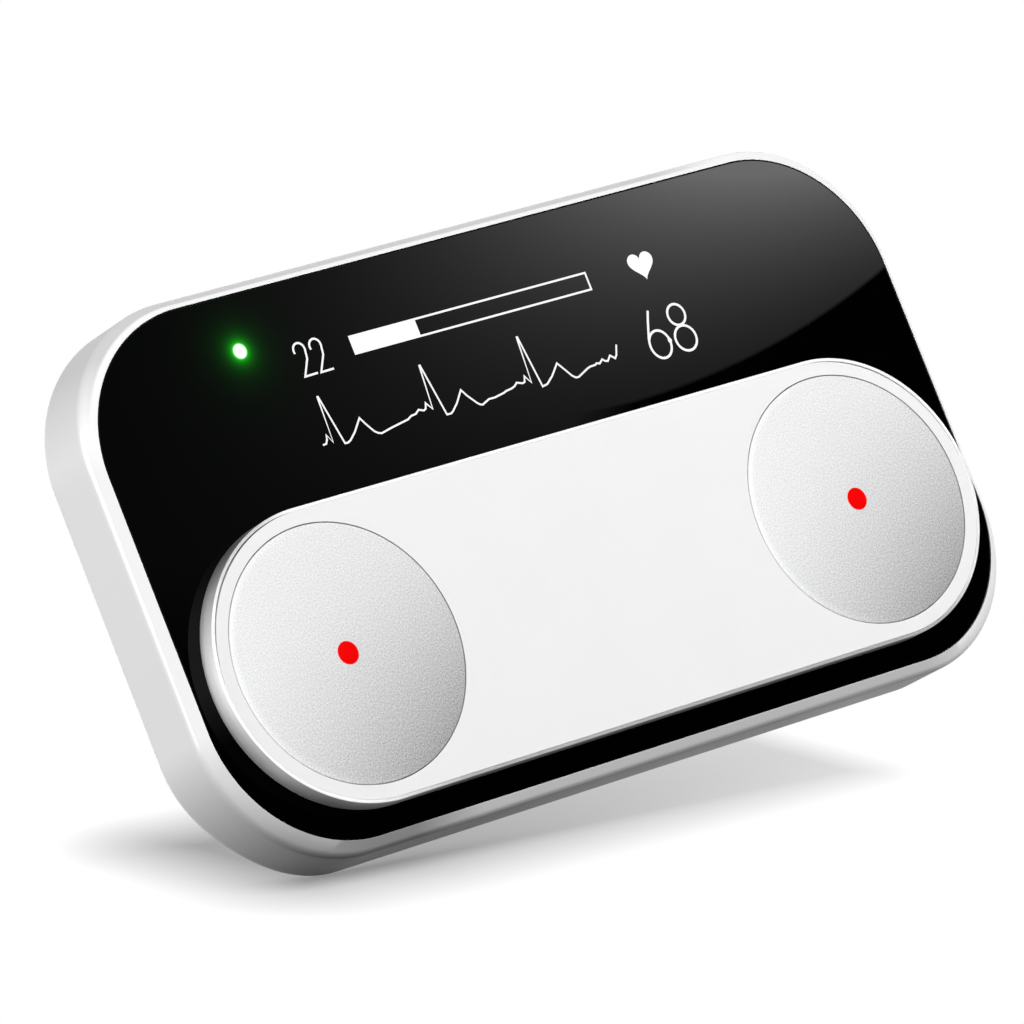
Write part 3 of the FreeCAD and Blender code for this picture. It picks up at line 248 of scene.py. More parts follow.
# %% Finishes
class Finish:
    """A material, or the world, whose nodes are added one by one."""

    def __init__(self, name, owner=None, **sockets):
        self.owner = owner or bpy.data.materials.new(name)
        self.owner.use_nodes = True
        self.tree = self.owner.node_tree
        self.shader = self.tree.nodes.get("Principled BSDF")
        self.fill({key.replace("_", " "): value for key, value in sockets.items()})

    def fill(self, sockets, node=None):
        """Connect values to the sockets of the shader or another node, or set constants on them."""
        node = node or self.shader
        for key, value in sockets.items():
            if isinstance(value, Value):
                self.tree.links.new(value.socket, node.inputs[key])
            elif isinstance(value, tuple) and len(value) == 3 and node.inputs[key].type == "RGBA":
                node.inputs[key].default_value = (*value, 1.0)
            else:
                node.inputs[key].default_value = value

    def node(self, kind, settings=None, sockets=None, output=0):
        """Add a node, set it up, connect it, and return one of its outputs."""
        node = self.tree.nodes.new(kind)
        for name, value in (settings or {}).items():
            if name == "stops":
                stops = node.color_ramp.elements
                stops = [stops[0], *(stops.new(0.5) for _ in value[2:]), stops[-1]]
                for stop, (place, colour) in zip(stops, value):
                    stop.position, stop.color = place, (*colour, 1.0)
            else:
                setattr(node, name, value)
        self.fill(sockets or {}, node)
        return Value(self, node.outputs[output])

    def place(self):
        """Object coordinates, in metres from the middle of the case's back."""
        return self.node("ShaderNodeTexCoord", output="Object")

    def axes(self, centre=(0, 0, 0)):
        """Distances in millimetres from a point, along the three axes."""
        moved = self.node("ShaderNodeVectorMath", {"operation": "SUBTRACT"},
                          {0: self.place(), 1: Vector(centre) * MM})
        moved = self.tone(moved, 1 / MM)
        return [self.node("ShaderNodeSeparateXYZ", {}, {0: moved}, output) for output in range(3)]

    def noise(self, grain, detail=2.0, stretch=(1, 1, 1)):
        """Noise whose grains are this many millimetres across, about 0.5 on average."""
        place = self.node("ShaderNodeMapping", {}, {"Vector": self.place(), "Scale": stretch})
        return self.node("ShaderNodeTexNoise", {}, {"Vector": place, "Scale": 1 / (grain * MM),
                                                   "Detail": detail})

    def bump(self, height, depth):
        """Shading bumps, their depth in millimetres."""
        normal = self.node("ShaderNodeBump", {}, {"Height": height, "Distance": depth * MM})
        self.fill({"Normal": normal})

    def shine(self, light):
        """Let the surface give off a light of its own."""
        self.fill({"Emission Color": light, "Emission Strength": 1.0})

    def tone(self, colour, change):
        """A colour, or another set of three numbers, made larger or smaller by a value."""
        return self.node("ShaderNodeVectorMath", {"operation": "SCALE"}, {0: colour, "Scale": change})

    def seen(self):
        """One for rays from a camera, a mirror or a clear part, and nothing for rays that light."""
        ray = [self.node("ShaderNodeLightPath", output=name)
               for name in ("Is Camera Ray", "Is Glossy Ray", "Is Transmission Ray")]
        return (ray[0] + ray[1] + ray[2]).least(1.0)


print("a finish knows", *(name for name in vars(Finish) if name[0] != "_"))

# %% [markdown]
# ## Finishes of the outside
# Moulded plastic is never one flat tone: its gloss wanders by a few percent and the mould leaves
# a faint grain. Both come from noise in Object coordinates, which stays put when a part moves.

# %% Moulded plastic
MOULD_GRAIN, MOULD_DEPTH, CLOUD = 0.12, 0.002, 9.0


def moulded(name, colour, roughness, grain=MOULD_GRAIN, depth=MOULD_DEPTH, **sockets):
    """Plastic with a faint mould grain and slightly uneven gloss."""
    finish = Finish(name, Base_Color=colour, Roughness=roughness, IOR=1.5, **sockets)
    cloud = finish.noise(CLOUD)
    finish.fill({"Roughness": roughness * (0.9 + 0.2 * cloud),
                 "Base Color": finish.tone(colour, 0.985 + 0.03 * cloud)})
    finish.bump(finish.noise(grain), depth)
    return finish


print("mould grain", MOULD_GRAIN, "mm wide and", MOULD_DEPTH, "mm deep")

# %% [markdown]
# The case is one white. The soft lamps leave it more even than the photo shows, so shade is painted
# into its colour: it is greyer low on the left of its walls and shoulder, at the upper left end, and
# along the crease of the upper edge. Each painted shade is a product of ramps and fades out softly. A
# coat makes the shoulder shine.

# %% White plastics
WHITE = (0.86, 0.86, 0.865)
LOW_PAINTED_SHADE, HIGH_PAINTED_SHADE, CORNER_PAINTED_SHADE, BROW_PAINTED_SHADE = 0.42, 0.3, 0.5, 0.38
case_white = moulded("case_white", WHITE, 0.35, Specular_IOR_Level=0.03, Coat_IOR=1.5)
x, y, z = case_white.axes()
shoulder = z.ramp(7.0, 7.5)
walls = (1 - shoulder) * z.ramp(0.15, 1.261)
# Painted shade: these masks grey the case's colour low on the left, at the upper left end and along
# the upper crease.
low = y.ramp(-13.0, -24.765) * x.ramp(5.0, -20.0)
high = y.ramp(16.0, 24.333) * x.ramp(-30.0, -35.0)
shaded_corner = low * x.ramp(-22.0, -30.333)
brow = shoulder * z.ramp(8.2, 8.0333) * y.ramp(18.0, 24.25) * x.ramp(34.0, 25.667)
painted_shade = walls * (LOW_PAINTED_SHADE * low + HIGH_PAINTED_SHADE * high) + CORNER_PAINTED_SHADE * shoulder * shaded_corner + BROW_PAINTED_SHADE * brow
case_white.fill({"Base Color": case_white.tone(WHITE, 1 - painted_shade),
                 "Coat Weight": shoulder * (1 - shaded_corner), "Coat Roughness": 0.2})
plate_white = moulded("plate_white", (0.87, 0.87, 0.875), 0.3, grain=0.3, depth=0.0008)
key_white = moulded("key_white", (0.8, 0.8, 0.81), 0.42)
print("white plastics:", case_white.owner.name, plate_white.owner.name, key_white.owner.name)

# %% [markdown]
# The face is a hard-coated black window: nearly black and smooth as glass, with a coat that thins
# out towards its lower edge. The green status light spills into its surface. Light from a small
# source falls off steeply across a flat face, so the glow is one over the cube of the distance.

# %% Black window
LIGHT = (-29.56, 21.3)
LENS_RADIUS, GLOW = 0.915, 0.28
THIN_COAT, COAT_FADE = 0.1, (-15.0, -9.0)
face_black = Finish("face_black", Base_Color=(0.0004, 0.0004, 0.0005), Specular_IOR_Level=0.0,
                    Coat_IOR=1.18)
smudge = face_black.noise(14.0, detail=4.0)
x, y, _ = face_black.axes((*LIGHT, 0))
glow = (GLOW / distance(x, y).most(LENS_RADIUS) ** 3.0).least(1.0)
gloss = (y + LIGHT[1]).ramp(*COAT_FADE).most(THIN_COAT)
face_black.fill({"Roughness": 0.3 + 0.2 * smudge, "Coat Weight": gloss, "Coat Roughness": 0.003})
face_black.shine(face_black.tone((0.02, 1.0, 0.03), glow))
print("window finish:", face_black.owner.name, len(face_black.tree.nodes), "nodes")

# %% [markdown]
# The ring is satin chrome: metal, but brushed finely enough to spread what it mirrors. To match the
# photo, shade is painted into its colour: it is darker on the outside of the long sides, most along
# the lower one, and at the upper left and the lower right end. The masks are ramps again.

# %% Ring metal
SPACING, LINE, RING_RADIUS = 64.4, -9.75, 14.75
SIDES = {"left": -SPACING / 2, "right": SPACING / 2}
STEEP_PAINTED_SHADE, UNDER_PAINTED_SHADE, UPPER_LEFT_PAINTED_SHADE, RIGHT_PAINTED_SHADE = 0.5, 0.55, 0.35, 0.15
ring_metal = Finish("ring_metal", Base_Color=(1.0, 0.99, 0.99), Metallic=1.0)
lines = ring_metal.noise(0.5, stretch=(1, 1, 12))
x, y, z = ring_metal.axes((0, LINE, 0))
across = y / RING_RADIUS
# Painted shade: these masks darken the ring's colour on the outside of its long sides and at two
# ends.
steep = ((across * across) ** 0.5).ramp(0.62, 0.87) * z.ramp(10.72, 10.62)
under = across.ramp(-0.75, -0.95) * x.ramp(-38.0, -23.714)
shaded = across.ramp(0.5, 0.8333) * x.ramp(-33.0, -37.0)
right = x.ramp(34.0, 40.667) * across.ramp(0.25, 0.0)
ring_painted_shade = (1 - STEEP_PAINTED_SHADE * steep) * (1 - UNDER_PAINTED_SHADE * under - UPPER_LEFT_PAINTED_SHADE * shaded)
ring_painted_shade = ring_painted_shade * (1 - RIGHT_PAINTED_SHADE * right)
ring_metal.fill({"Roughness": 0.46 + 0.1 * lines,
                 "Base Color": ring_metal.tone((1.0, 0.99, 0.99), ring_painted_shade)})
ring_metal.bump(lines, 0.0015)
print("ring finish:", ring_metal.owner.name)

# %% [markdown]
# The electrodes are blasted steel. Their sparkle is a grain of about a seventh of a millimetre.
# To match the photo, shade and a highlight are painted into their tone: it grows darker towards the
# lower right, and a painted highlight makes the turned rim a little brighter on its left.

# %% Electrode steel
DISC_RADIUS, BLAST_GRAIN = 12.93, 0.15


def blasted_steel(name, middle):
    """Steel with a fine blasted grain, painted lighter towards the upper left of the disc and on the
    left of its rim.
    """
    finish = Finish(name, Metallic=1.0)
    x, y, _ = finish.axes((middle, LINE, 0))
    x, y = x / DISC_RADIUS, y / DISC_RADIUS
    grain = finish.noise(BLAST_GRAIN)
    # Painted light: the tone falls towards the lower right, and the left of the rim gets a painted
    # highlight.
    painted_light = 0.705 + 0.18 * y - 0.13 * x + 0.11 * x * y - 0.07 * y * y
    rim = distance(x, y).ramp(0.935, 0.995) * (0.3 - x).most(0.0)
    painted_light = painted_light + 0.1 * rim
    speck = 1 + (grain - 0.5) * (3.2 - 2.9 * painted_light)
    finish.fill({"Base Color": finish.tone((0.995, 0.995, 1.0), painted_light * speck),
                 "Roughness": 0.42 + 0.12 * grain})
    finish.bump(grain, 0.004)
    return finish


steel = {side: blasted_steel("disc_steel_" + side, middle) for side, middle in SIDES.items()}
print("electrode finishes:", *(finish.owner.name for finish in steel.values()))

# %% [markdown]
# The thumb marks are drops of red enamel, glossy and even. The lens of the status light is a
# clear rod that glows: its middle is so bright that it looks white, and its rim stays green.
# The lit figures share one pale light that varies a little from cell to cell of the display.

# %% Enamel, light and display finishes
LENS_STOPS = ((0.0, (1.0, 1.0, 1.0)), (0.76, (1.0, 1.0, 1.0)),
              (0.88, (0.02, 0.5, 0.01)), (1.0, (0.004, 0.32, 0.002)))
enamel = moulded("red_enamel", (0.96, 0.0, 0.0), 0.35, grain=0.4, depth=0.001,
                 Specular_IOR_Level=0.04)
lens = Finish("lens_light", Base_Color=(0.0, 0.1, 0.0), Roughness=0.3, IOR=1.49,
              Specular_IOR_Level=0.05)
x, y, _ = lens.axes((*LIGHT, 0))
lens.shine(lens.node("ShaderNodeValToRGB", {"stops": LENS_STOPS},
                     {"Fac": distance(x, y).ramp(0.0, LENS_RADIUS)}))

figures_light = Finish("figures_light", Base_Color=(0.02, 0.02, 0.02), Roughness=0.3)
cells = figures_light.noise(0.25)
figures_light.shine(figures_light.tone((0.92, 0.93, 0.95), 0.94 + 0.12 * cells))
print("lit finishes:", lens.owner.name, figures_light.owner.name)

# %% [markdown]
# ## The case
# The case is one moulded tub. Its side wall runs straight up, turns in a soft crease into a
# sloping shoulder, and ends in a thin lip round the black window. It starts as a box with round
# upright corners. An inset that also rises makes the whole shoulder in one step. Its corners are
# then moved to the window's wider curve. Bevels of the crease and of the back edge give the soft
# turns, and the two lower back corners are drawn in a little.

# %% Outside of the case
LENGTH, BREADTH, CORNER, DEPTH = 100.0, 56.2, 14.25, 8.5
SHOULDER_WIDTH, SHOULDER_DROP, CREASE, BACK_ROUND = 1.11, 1.0, 0.6, 1.0
LIP_X, LIP_Y, LIP_RADIUS = 34.75, 12.85, 14.11
CORNER_PULL, PULL_TOP = 0.55, 6.9
case = slab("case", LENGTH, BREADTH, CORNER, 0, DEPTH - SHOULDER_DROP)
pick(case, "FACE", level(DEPTH - SHOULDER_DROP))
bpy.ops.mesh.inset(thickness=SHOULDER_WIDTH * MM, depth=SHOULDER_DROP * MM)
alone(case)
for vertex in case.data.vertices:
    if vertex.co.z > (DEPTH - 0.1) * MM:
        x, y, z = vertex.co / MM
        turn = math.atan2(abs(y) - BREADTH / 2 + CORNER, abs(x) - LENGTH / 2 + CORNER)
        vertex.co = Vector((math.copysign(LIP_X + LIP_RADIUS * math.cos(turn), x),
                            math.copysign(LIP_Y + LIP_RADIUS * math.sin(turn), y), z)) * MM
soften(case, [level(DEPTH - SHOULDER_DROP)], CREASE, steps=6)
soften(case, [level(0)], BACK_ROUND, steps=8)
for vertex in case.data.vertices:
    x, y, z = vertex.co / MM
    beyond = Vector((abs(x) - LENGTH / 2 + CORNER, abs(y) - BREADTH / 2 + CORNER))
    if min(beyond) > 0 > y:
        turn = math.atan2(beyond.y, beyond.x)
        pull = CORNER_PULL * math.sin(2 * turn) ** 2 * max(0, 1 - z / PULL_TOP)
        outward = Vector((math.copysign(math.cos(turn), x), math.copysign(math.sin(turn), y), 0))
        vertex.co -= outward * pull * MM
print("case outside", [round(side / MM, 1) for side in case.dimensions])

# %% [markdown]
# Inside are the tub's cavity, the seat of the window, four screw bosses and two ribs that hold
# the battery. Bosses and ribs reach a little into the floor, so that they fuse with it.

# %% Hollow, bosses and ribs
WALL, FLOOR, SEAT_LEVEL, ROOT = 1.5, 1.3, 7.5, 0.5
BOSSES = [(sx * 42.5, sy * 21.0) for sx in (-1, 1) for sy in (-1, 1)]
BOSS_RADIUS, BOSS_TOP = 2.5, 2.95
RIB_X, RIB_HALF, RIB_ENDS, RIB_TOP = 17.1, 0.3, (-20.3, -6.3), 3.0
combine(case, [
    slab("seat", 97.66, 53.86, 14.08, SEAT_LEVEL, DEPTH + 1),
    slab("cavity", LENGTH - 2 * WALL, BREADTH - 2 * WALL, CORNER - WALL, FLOOR, 8.0)])
combine(case, [solid_rod("boss", bx, by, BOSS_RADIUS, FLOOR - ROOT, BOSS_TOP, 48)
               for bx, by in BOSSES], "UNION")
combine(case, [solid_box("rib", (side * RIB_X - RIB_HALF, RIB_ENDS[0], FLOOR - ROOT),
                         (side * RIB_X + RIB_HALF, RIB_ENDS[1], RIB_TOP))
               for side in (-1, 1)], "UNION")
print("case hollowed:", len(case.data.polygons), "faces")

# %% [markdown]
# The openings: screw holes with counterbores, five sound holes, the seat of the label, the slot
# and the finger scoop of the power button, and the opening of the charging socket.

# %% Openings
KEY, SOCKET, SOUND, OUTER = (20.0, 3.9), (-14.0, 2.95), (-36.5, 12.0), BREADTH / 2
KEY_SCOOP, KEY_SLOT, SOCKET_OPENING, LABEL_SEAT = (12.4, 4.6), (9.0, 2.4), (8.1, 3.1), (46.4, 19.4)
SCOOP_DEPTH, SCREW_HOLE, COUNTERBORE, SOUND_HOLE, SOUND_STEP = 0.4, 0.95, 1.75, 0.5, 1.9
SOUND_HOLES = [(SOUND[0] + dx * SOUND_STEP, SOUND[1] + dy * SOUND_STEP)
               for dx, dy in ((0, 0), (1, 0), (-1, 0), (0, 1), (0, -1))]


def wall_slot(name, centre, size, start, stop, corner, only=None):
    """A rounded bar that runs along Y, to cut the upper wall or to fit into it."""
    return solid_box(name, (centre[0] - size[0] / 2, start, centre[1] - size[1] / 2),
                     (centre[0] + size[0] / 2, stop, centre[1] + size[1] / 2), 1, corner, 16, only)


combine(case, [solid_rod("hole", bx, by, SCREW_HOLE, -1, 4, 32) for bx, by in BOSSES])
combine(case, [solid_rod("counterbore", bx, by, COUNTERBORE, -1, 1.4, 48) for bx, by in BOSSES])
combine(case, [solid_rod("sound_hole", hx, hy, SOUND_HOLE, -1, 2, 32) for hx, hy in SOUND_HOLES])
combine(case, [
    slab("label_seat", *LABEL_SEAT, 1.8, -1, 0.15, steps=12),
    wall_slot("key_scoop", KEY, KEY_SCOOP, OUTER - SCOOP_DEPTH, OUTER + 1, 2.3),
    wall_slot("key_slot", KEY, KEY_SLOT, OUTER - WALL - 1, OUTER, 1.2),
    wall_slot("socket_opening", SOCKET, SOCKET_OPENING, OUTER - WALL - 1, OUTER + 1, 0.8,
              lambda e: e.verts[0].co.z < SOCKET[1] * MM)])
print("case opened:", len(case.data.polygons), "faces")

# %% [markdown]
# Every rim gets a small round, because a moulded edge always catches a thin line of light. The
# rims are found by the plane they lie in and the size of their opening.

# %% Rims of the openings
RIM_REACH, WALL_ROUND, SMALL_ROUND, LABEL_ROUND = 0.05, 0.14, 0.1, 0.04


def rim_of(centre, size, plane, upright):
    """Test for edges in one plane, on the rim of an opening of a size."""
    return lambda e: plane(e) and all(
        abs(v.co.x / MM - centre[0]) < size[0] / 2 + RIM_REACH
        and abs(v.co[upright] / MM - centre[1]) < size[1] / 2 + RIM_REACH for v in e.verts)


rims = soften(case, [rim_of(KEY, KEY_SCOOP, level(OUTER, 1), 2),
                     rim_of(SOCKET, SOCKET_OPENING, level(OUTER, 1), 2)], WALL_ROUND, 3)
rims += soften(case, [rim_of(KEY, KEY_SLOT, level(OUTER - SCOOP_DEPTH, 1), 2)], SMALL_ROUND)
rims += soften(case, [circle_at(bx, by, COUNTERBORE, 0) for bx, by in BOSSES]
               + [circle_at(hx, hy, SOUND_HOLE, 0) for hx, hy in SOUND_HOLES], SMALL_ROUND)
rims += soften(case, [rim_of((0, 0), LABEL_SEAT, level(0), 1)], LABEL_ROUND)
print(rims, "rim edges rounded")
paint(case, case_white)
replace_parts(shade(case), "rear_shell")
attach(case, "housing")

# %% [markdown]
# ## The black window
# A flat plate with round corners and a narrow polished edge. The holes under the sensor plate
# let the electrodes' sleeves, the stakes and the contact pins through to the board.

# %% Window plate
LIGHT_HOLE, STAKE_HOLE = 0.97, 0.95
SLEEVE, PIN = (SPACING / 2, 0.0, 4.15, 64), (SPACING / 2, 6.0, 0.6, 32)
STAKES = [(16.0, 8.5, STAKE_HOLE, 32), (16.0, -8.5, STAKE_HOLE, 32)]
window = slab("face_window", 97.5, 53.7, 14.0, SEAT_LEVEL, DEPTH)
combine(window, [solid_rod("light_hole", *LIGHT, LIGHT_HOLE, 7, 9, 48)])
for side in (-1, 1):
    combine(window, [solid_rod("hole", side * out, LINE + up, radius, 7, 9, sides)
                     for out, up, radius, sides in (SLEEVE, PIN, *STAKES)])


def window_outline(edge):
    """Test for the window's upper outline: its long sides, its ends and its corners."""
    return level(DEPTH)(edge) and (max(abs(v.co.x) + abs(v.co.y) for v in edge.verts) > 53 * MM
                                   or all(abs(v.co.y) > 26.8 * MM for v in edge.verts))


soften(window, [window_outline], SMALL_ROUND, 3)
paint(window, face_black)
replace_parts(shade(window), "front_panel")
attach(window, "housing")

# %% [markdown]
# ## Ring and sensor plate
# Both follow the same stadium outline: two half circles joined by straight sides. The ring is a
# stadium with a smaller one cut out, which leaves a foot under the plate. Its top edges are
# rounded so that the lip draws a thin bright line.

# %% Ring round the plate
RING_TOP, BORE_RADIUS, FOOT_RADIUS, FOOT_TOP, LIP_ROUND = 10.85, 14.43, 13.6, 9.05, 0.08


def stadium(name, radius, low, high):
    """A slab whose ends are half circles about the electrodes' centres."""
    reach = SPACING / 2 + radius
    return solid_box(name, (-reach, LINE - radius, low), (reach, LINE + radius, high),
                     corner=radius, steps=48)


ring = stadium("face_ring", RING_RADIUS, DEPTH, RING_TOP)
combine(ring, [stadium("bore", BORE_RADIUS, FOOT_TOP, 12), stadium("foot_bore", FOOT_RADIUS, 8, 12)])
soften(ring, [level(RING_TOP)], LIP_ROUND, 4)
paint(ring, ring_metal)
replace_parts(shade(ring), "trim_ring")
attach(ring, "housing")

# %% [markdown]
# The sensor plate is a moulded white tray that drops into the ring, a little below its lip, with
# two round pockets for the electrodes. A fit is never even all round: at the upper quarter of
# both ends the plate stops up to 0.15 mm short of the ring, and a hair-thin seam shows. So those
# corners of its outline are drawn towards the middle of the round end.

# %% Plate with two pockets
PLATE_RADIUS, PLATE_FOOT, PLATE_TOP, SEAM, POCKET_RADIUS = 14.42, 9.4, RING_TOP - 0.05, 0.15, 13.0
plate = stadium("face_plate", PLATE_RADIUS, PLATE_FOOT, PLATE_TOP)
for corner in plate.data.vertices:
    x, y = corner.co.x / MM, corner.co.y / MM - LINE
    past = abs(x) - SPACING / 2
    if past > 0 and y > 0:
        pull = 1 - SEAM * abs(math.sin(2 * math.atan2(y, past))) / PLATE_RADIUS
        corner.co.x = math.copysign(SPACING / 2 + past * pull, x) * MM
        corner.co.y = (LINE + y * pull) * MM
combine(plate, [solid_rod("pocket", middle, LINE, POCKET_RADIUS, 9, 12, 192)
                for middle in SIDES.values()])
soften(plate, [level(PLATE_TOP)], 0.04, 3)
paint(plate, plate_white)
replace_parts(shade(plate), "sensor_plate")
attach(plate, "housing")

# %% [markdown]
# ## Electrodes
# Each electrode is turned from steel: a wide disc with a shallow seat for the mark, a post under
# it that slides in a sleeve, and a groove for the clip. A turned part is a stack of rings about
# one axis. So it starts as a filled circle, which is extruded from ring to ring like a lathe cut.


# %% Turned parts
def turned(name, x, y, profile, sides=96):
    """A solid turned about an upright axis, from (radius, height) pairs in millimetres."""
    alone()
    radius, height = profile[0]
    bpy.ops.mesh.primitive_circle_add(vertices=sides, radius=radius * MM, fill_type="NGON",
                                      location=Vector((x, y, height)) * MM)
    part = settle(name)
    bpy.ops.object.mode_set(mode="EDIT")
    bpy.ops.mesh.select_all(action="SELECT")
    for wider, higher in profile[1:]:
        rise = (0, 0, (higher - height) * MM)
        bpy.ops.mesh.extrude_region_move(TRANSFORM_OT_translate={"value": rise})
        bpy.ops.transform.resize(value=(wider / radius, wider / radius, 1),
                                 center_override=Vector((x, y, higher)) * MM)
        radius, height = wider, higher
    bpy.ops.mesh.select_all(action="SELECT")
    bpy.ops.mesh.normals_make_consistent(inside=False)
    alone(part)
    return part


DISC_TOP, DISC_BACK, MARK_RADIUS, MARK_SEAT = 10.80, 10.0, 1.15, 10.65
POST, GROOVE, GROOVE_TOP, GROOVE_FOOT, POST_FOOT = 2.5, 2.0, 5.81, 5.56, 5.45
DISC_PROFILE = [
    (MARK_RADIUS, MARK_SEAT), (MARK_RADIUS, DISC_TOP - 0.03), (MARK_RADIUS + 0.03, DISC_TOP),
    (DISC_RADIUS - 0.12, DISC_TOP), (DISC_RADIUS - 0.035, DISC_TOP - 0.035),
    (DISC_RADIUS, DISC_TOP - 0.12), (DISC_RADIUS, DISC_BACK), (POST, DISC_BACK), (POST, GROOVE_TOP),
    (GROOVE, GROOVE_TOP), (GROOVE, GROOVE_FOOT), (POST, GROOVE_FOOT), (POST, POST_FOOT)]
MARK_PROFILE = [(MARK_RADIUS, MARK_SEAT), (MARK_RADIUS, DISC_TOP - 0.01), (1.05, DISC_TOP + 0.008),
                (0.7, DISC_TOP + 0.016), (0.3, DISC_TOP + 0.02)]
for side, middle in SIDES.items():
    disc = turned("thumb_disc_" + side, middle, LINE, DISC_PROFILE, 192)
    paint(disc, steel[side])
    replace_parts(shade(disc), "electrode_" + side)
    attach(disc, side + "_electrode")
    mark = turned("enamel_mark_" + side, middle, LINE, MARK_PROFILE, 64)
    paint(mark, enamel)
    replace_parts(shade(mark), "thumb_mark_" + side)
    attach(mark, side + "_electrode")

# %% [markdown]
# ## Status light and power button
# The light pipe carries the light of a small LED from the board to the window. It is turned too:
# a flange under the frame keeps it in, and its crowned end lies flush with the window.

# %% Light pipe
pipe = turned("status_lens", *LIGHT, [(1.6, 5.8), (1.6, 6.2), (0.92, 6.2), (0.92, DEPTH - 0.02),
                                      (0.8, DEPTH + 0.02), (0.4, DEPTH + 0.035)], 64)
paint(pipe, lens)
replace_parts(shade(pipe), "light_pipe")
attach(pipe, "housing")

# %% [markdown]
# The power button is a small pill in a slot of the upper wall. A flange behind the wall keeps it
# in, and a round nub on the flange reaches the switch. The three are made apart and fused.

# %% Power button
INNER, KEY_FACE = OUTER - WALL, OUTER - 0.05
KEY_CAP, KEY_FLANGE, NUB_LENGTH = (8.8, 2.2), (10.6, 3.8), 0.65
key = wall_slot("power_key_cap", KEY, KEY_CAP, INNER - 0.1, KEY_FACE, 1.1)
soften(key, [level(KEY_FACE, 1)], 0.25, 4)
alone()
bpy.ops.mesh.primitive_cylinder_add(vertices=48, radius=MM, depth=NUB_LENGTH * MM,
                                    rotation=(math.pi / 2, 0, 0),
                                    location=Vector((KEY[0], INNER - 0.975, 3.4)) * MM)
nub = settle("nub")
combine(key, [wall_slot("flange", KEY, KEY_FLANGE, INNER - 0.7, INNER - 0.09, 1.9), nub], "UNION")
paint(key, key_white)
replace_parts(shade(key), "power_button")
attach(key, "power_key")

# %% [markdown]
# ## What the display shows
# Figures glow behind the window: a level bar, a heart, two readings and the trace of three
# heartbeats. Each is a flat shape a hundredth of a millimetre proud. A line is a narrow grid
# with one pair of points for each corner of its route. Each pair is laid across the route along
# the mitre, so that the line keeps its width round the corner. A limit on the mitre stops sharp
# corners from growing spikes. A thickness is added last.

# %% Drawing a line
FIGURE_TOP, FIGURE_THICKNESS, SHARPEST = DEPTH + 0.012, 0.02, 0.5


def flat_figure(drawn, name):
    """Give a flat shape its thickness, its light and its name."""
    drawn.name = drawn.data.name = name
    thickness = drawn.modifiers.new("thickness", "SOLIDIFY")
    thickness.thickness = FIGURE_THICKNESS * MM
    alone(drawn)
    bpy.ops.object.modifier_apply(modifier=thickness.name)
    paint(drawn, figures_light)
    return drawn


def draw_line(points, width, closed=False):
    """A flat line of even width through the points, in millimetres on the window."""
    route = [Vector(point) for point in points] + [Vector(points[0])] * closed
    legs = [(after - before).normalized() for before, after in zip(route, route[1:])]
    arriving, leaving = [legs[-1 if closed else 0], *legs], [*legs, legs[0 if closed else -1]]
    alone()
    bpy.ops.mesh.primitive_grid_add(x_subdivisions=len(legs), y_subdivisions=1, size=2)
    drawn = bpy.context.object
    for vertex in drawn.data.vertices:
        corner = round((vertex.co.x + 1) / 2 * len(legs))
        across = ((arriving[corner] + leaving[corner]) / 2).orthogonal()
        reach = width / 2 / max(across.length, SHARPEST) ** 2
        spot = route[corner] + across * (reach if vertex.co.y > 0 else -reach)
        vertex.co = Vector((*spot, FIGURE_TOP)) * MM
    if closed:
        bpy.ops.object.mode_set(mode="EDIT")
        bpy.ops.mesh.select_all(action="SELECT")
        bpy.ops.mesh.remove_doubles(threshold=1e-8)
    alone(drawn)
    return drawn


def sweep(centre, across, up, start, stop, steps):
    """Points along part of an ellipse, its angles in degrees."""
    turns = [math.radians(start + (stop - start) * step / steps) for step in range(steps + 1)]
    return [(centre[0] + across * math.cos(turn), centre[1] + up * math.sin(turn)) for turn in turns]


def together(name, drawn):
    """Join flat shapes into one figure."""
    alone(drawn[0])
    for shape in drawn[1:]:
        shape.select_set(True)
    bpy.ops.object.join()
    return flat_figure(drawn[0], name)


print("figures end", round(FIGURE_TOP, 3), "mm above the back,", FIGURE_THICKNESS, "mm thick")

# %% [markdown]
# The readings are drawn with one even stroke, as a thin display face is. A two is a hook that
# runs down to its foot. A six is a leaning stem that closes in a bowl, and an eight is a small
# ring on a larger one.

# %% Readings
LARGE_STROKE, SMALL_STROKE, TWO_SHIFT = 0.25, 0.21, 1.95


def two(shift):
    """One small figure two, moved to the right."""
    hook = sweep((-23.03 + shift, 19.9), 0.67, 0.73, 200, -20, 12)
    foot = [(-22.52 + shift, 18.9), (-23.5 + shift, 17.26), (-21.95 + shift, 17.3)]
    return draw_line(hook + foot, SMALL_STROKE)


six = [draw_line([(18.2, 14.55), (17.75, 13.57), (17.35, 12.6), (17.02, 11.8)]
                 + sweep((18.15, 10.97), 1.28, 1.45, 170, 365, 18)
                 + sweep((18.15, 10.97), 1.28, 1.45, 5, 150, 12), LARGE_STROKE)]
eight = [draw_line(sweep((21.37, 13.42), 1.06, 1.1, 0, 345, 23), LARGE_STROKE, closed=True),
         draw_line(sweep((21.42, 10.90), 1.29, 1.32, 0, 345, 23), LARGE_STROKE, closed=True)]
readings = [together("reading_small", [two(0), two(TWO_SHIFT)]),
            together("reading_large", six + eight)]
print("readings drawn:", [piece.name for piece in readings])

# %% [markdown]
# The trace shows three heartbeats. Each has a small tooth, a sharp spike with a dip at its foot,
# and a rounded wave. The line between them climbs a little and trembles, as a real trace does.

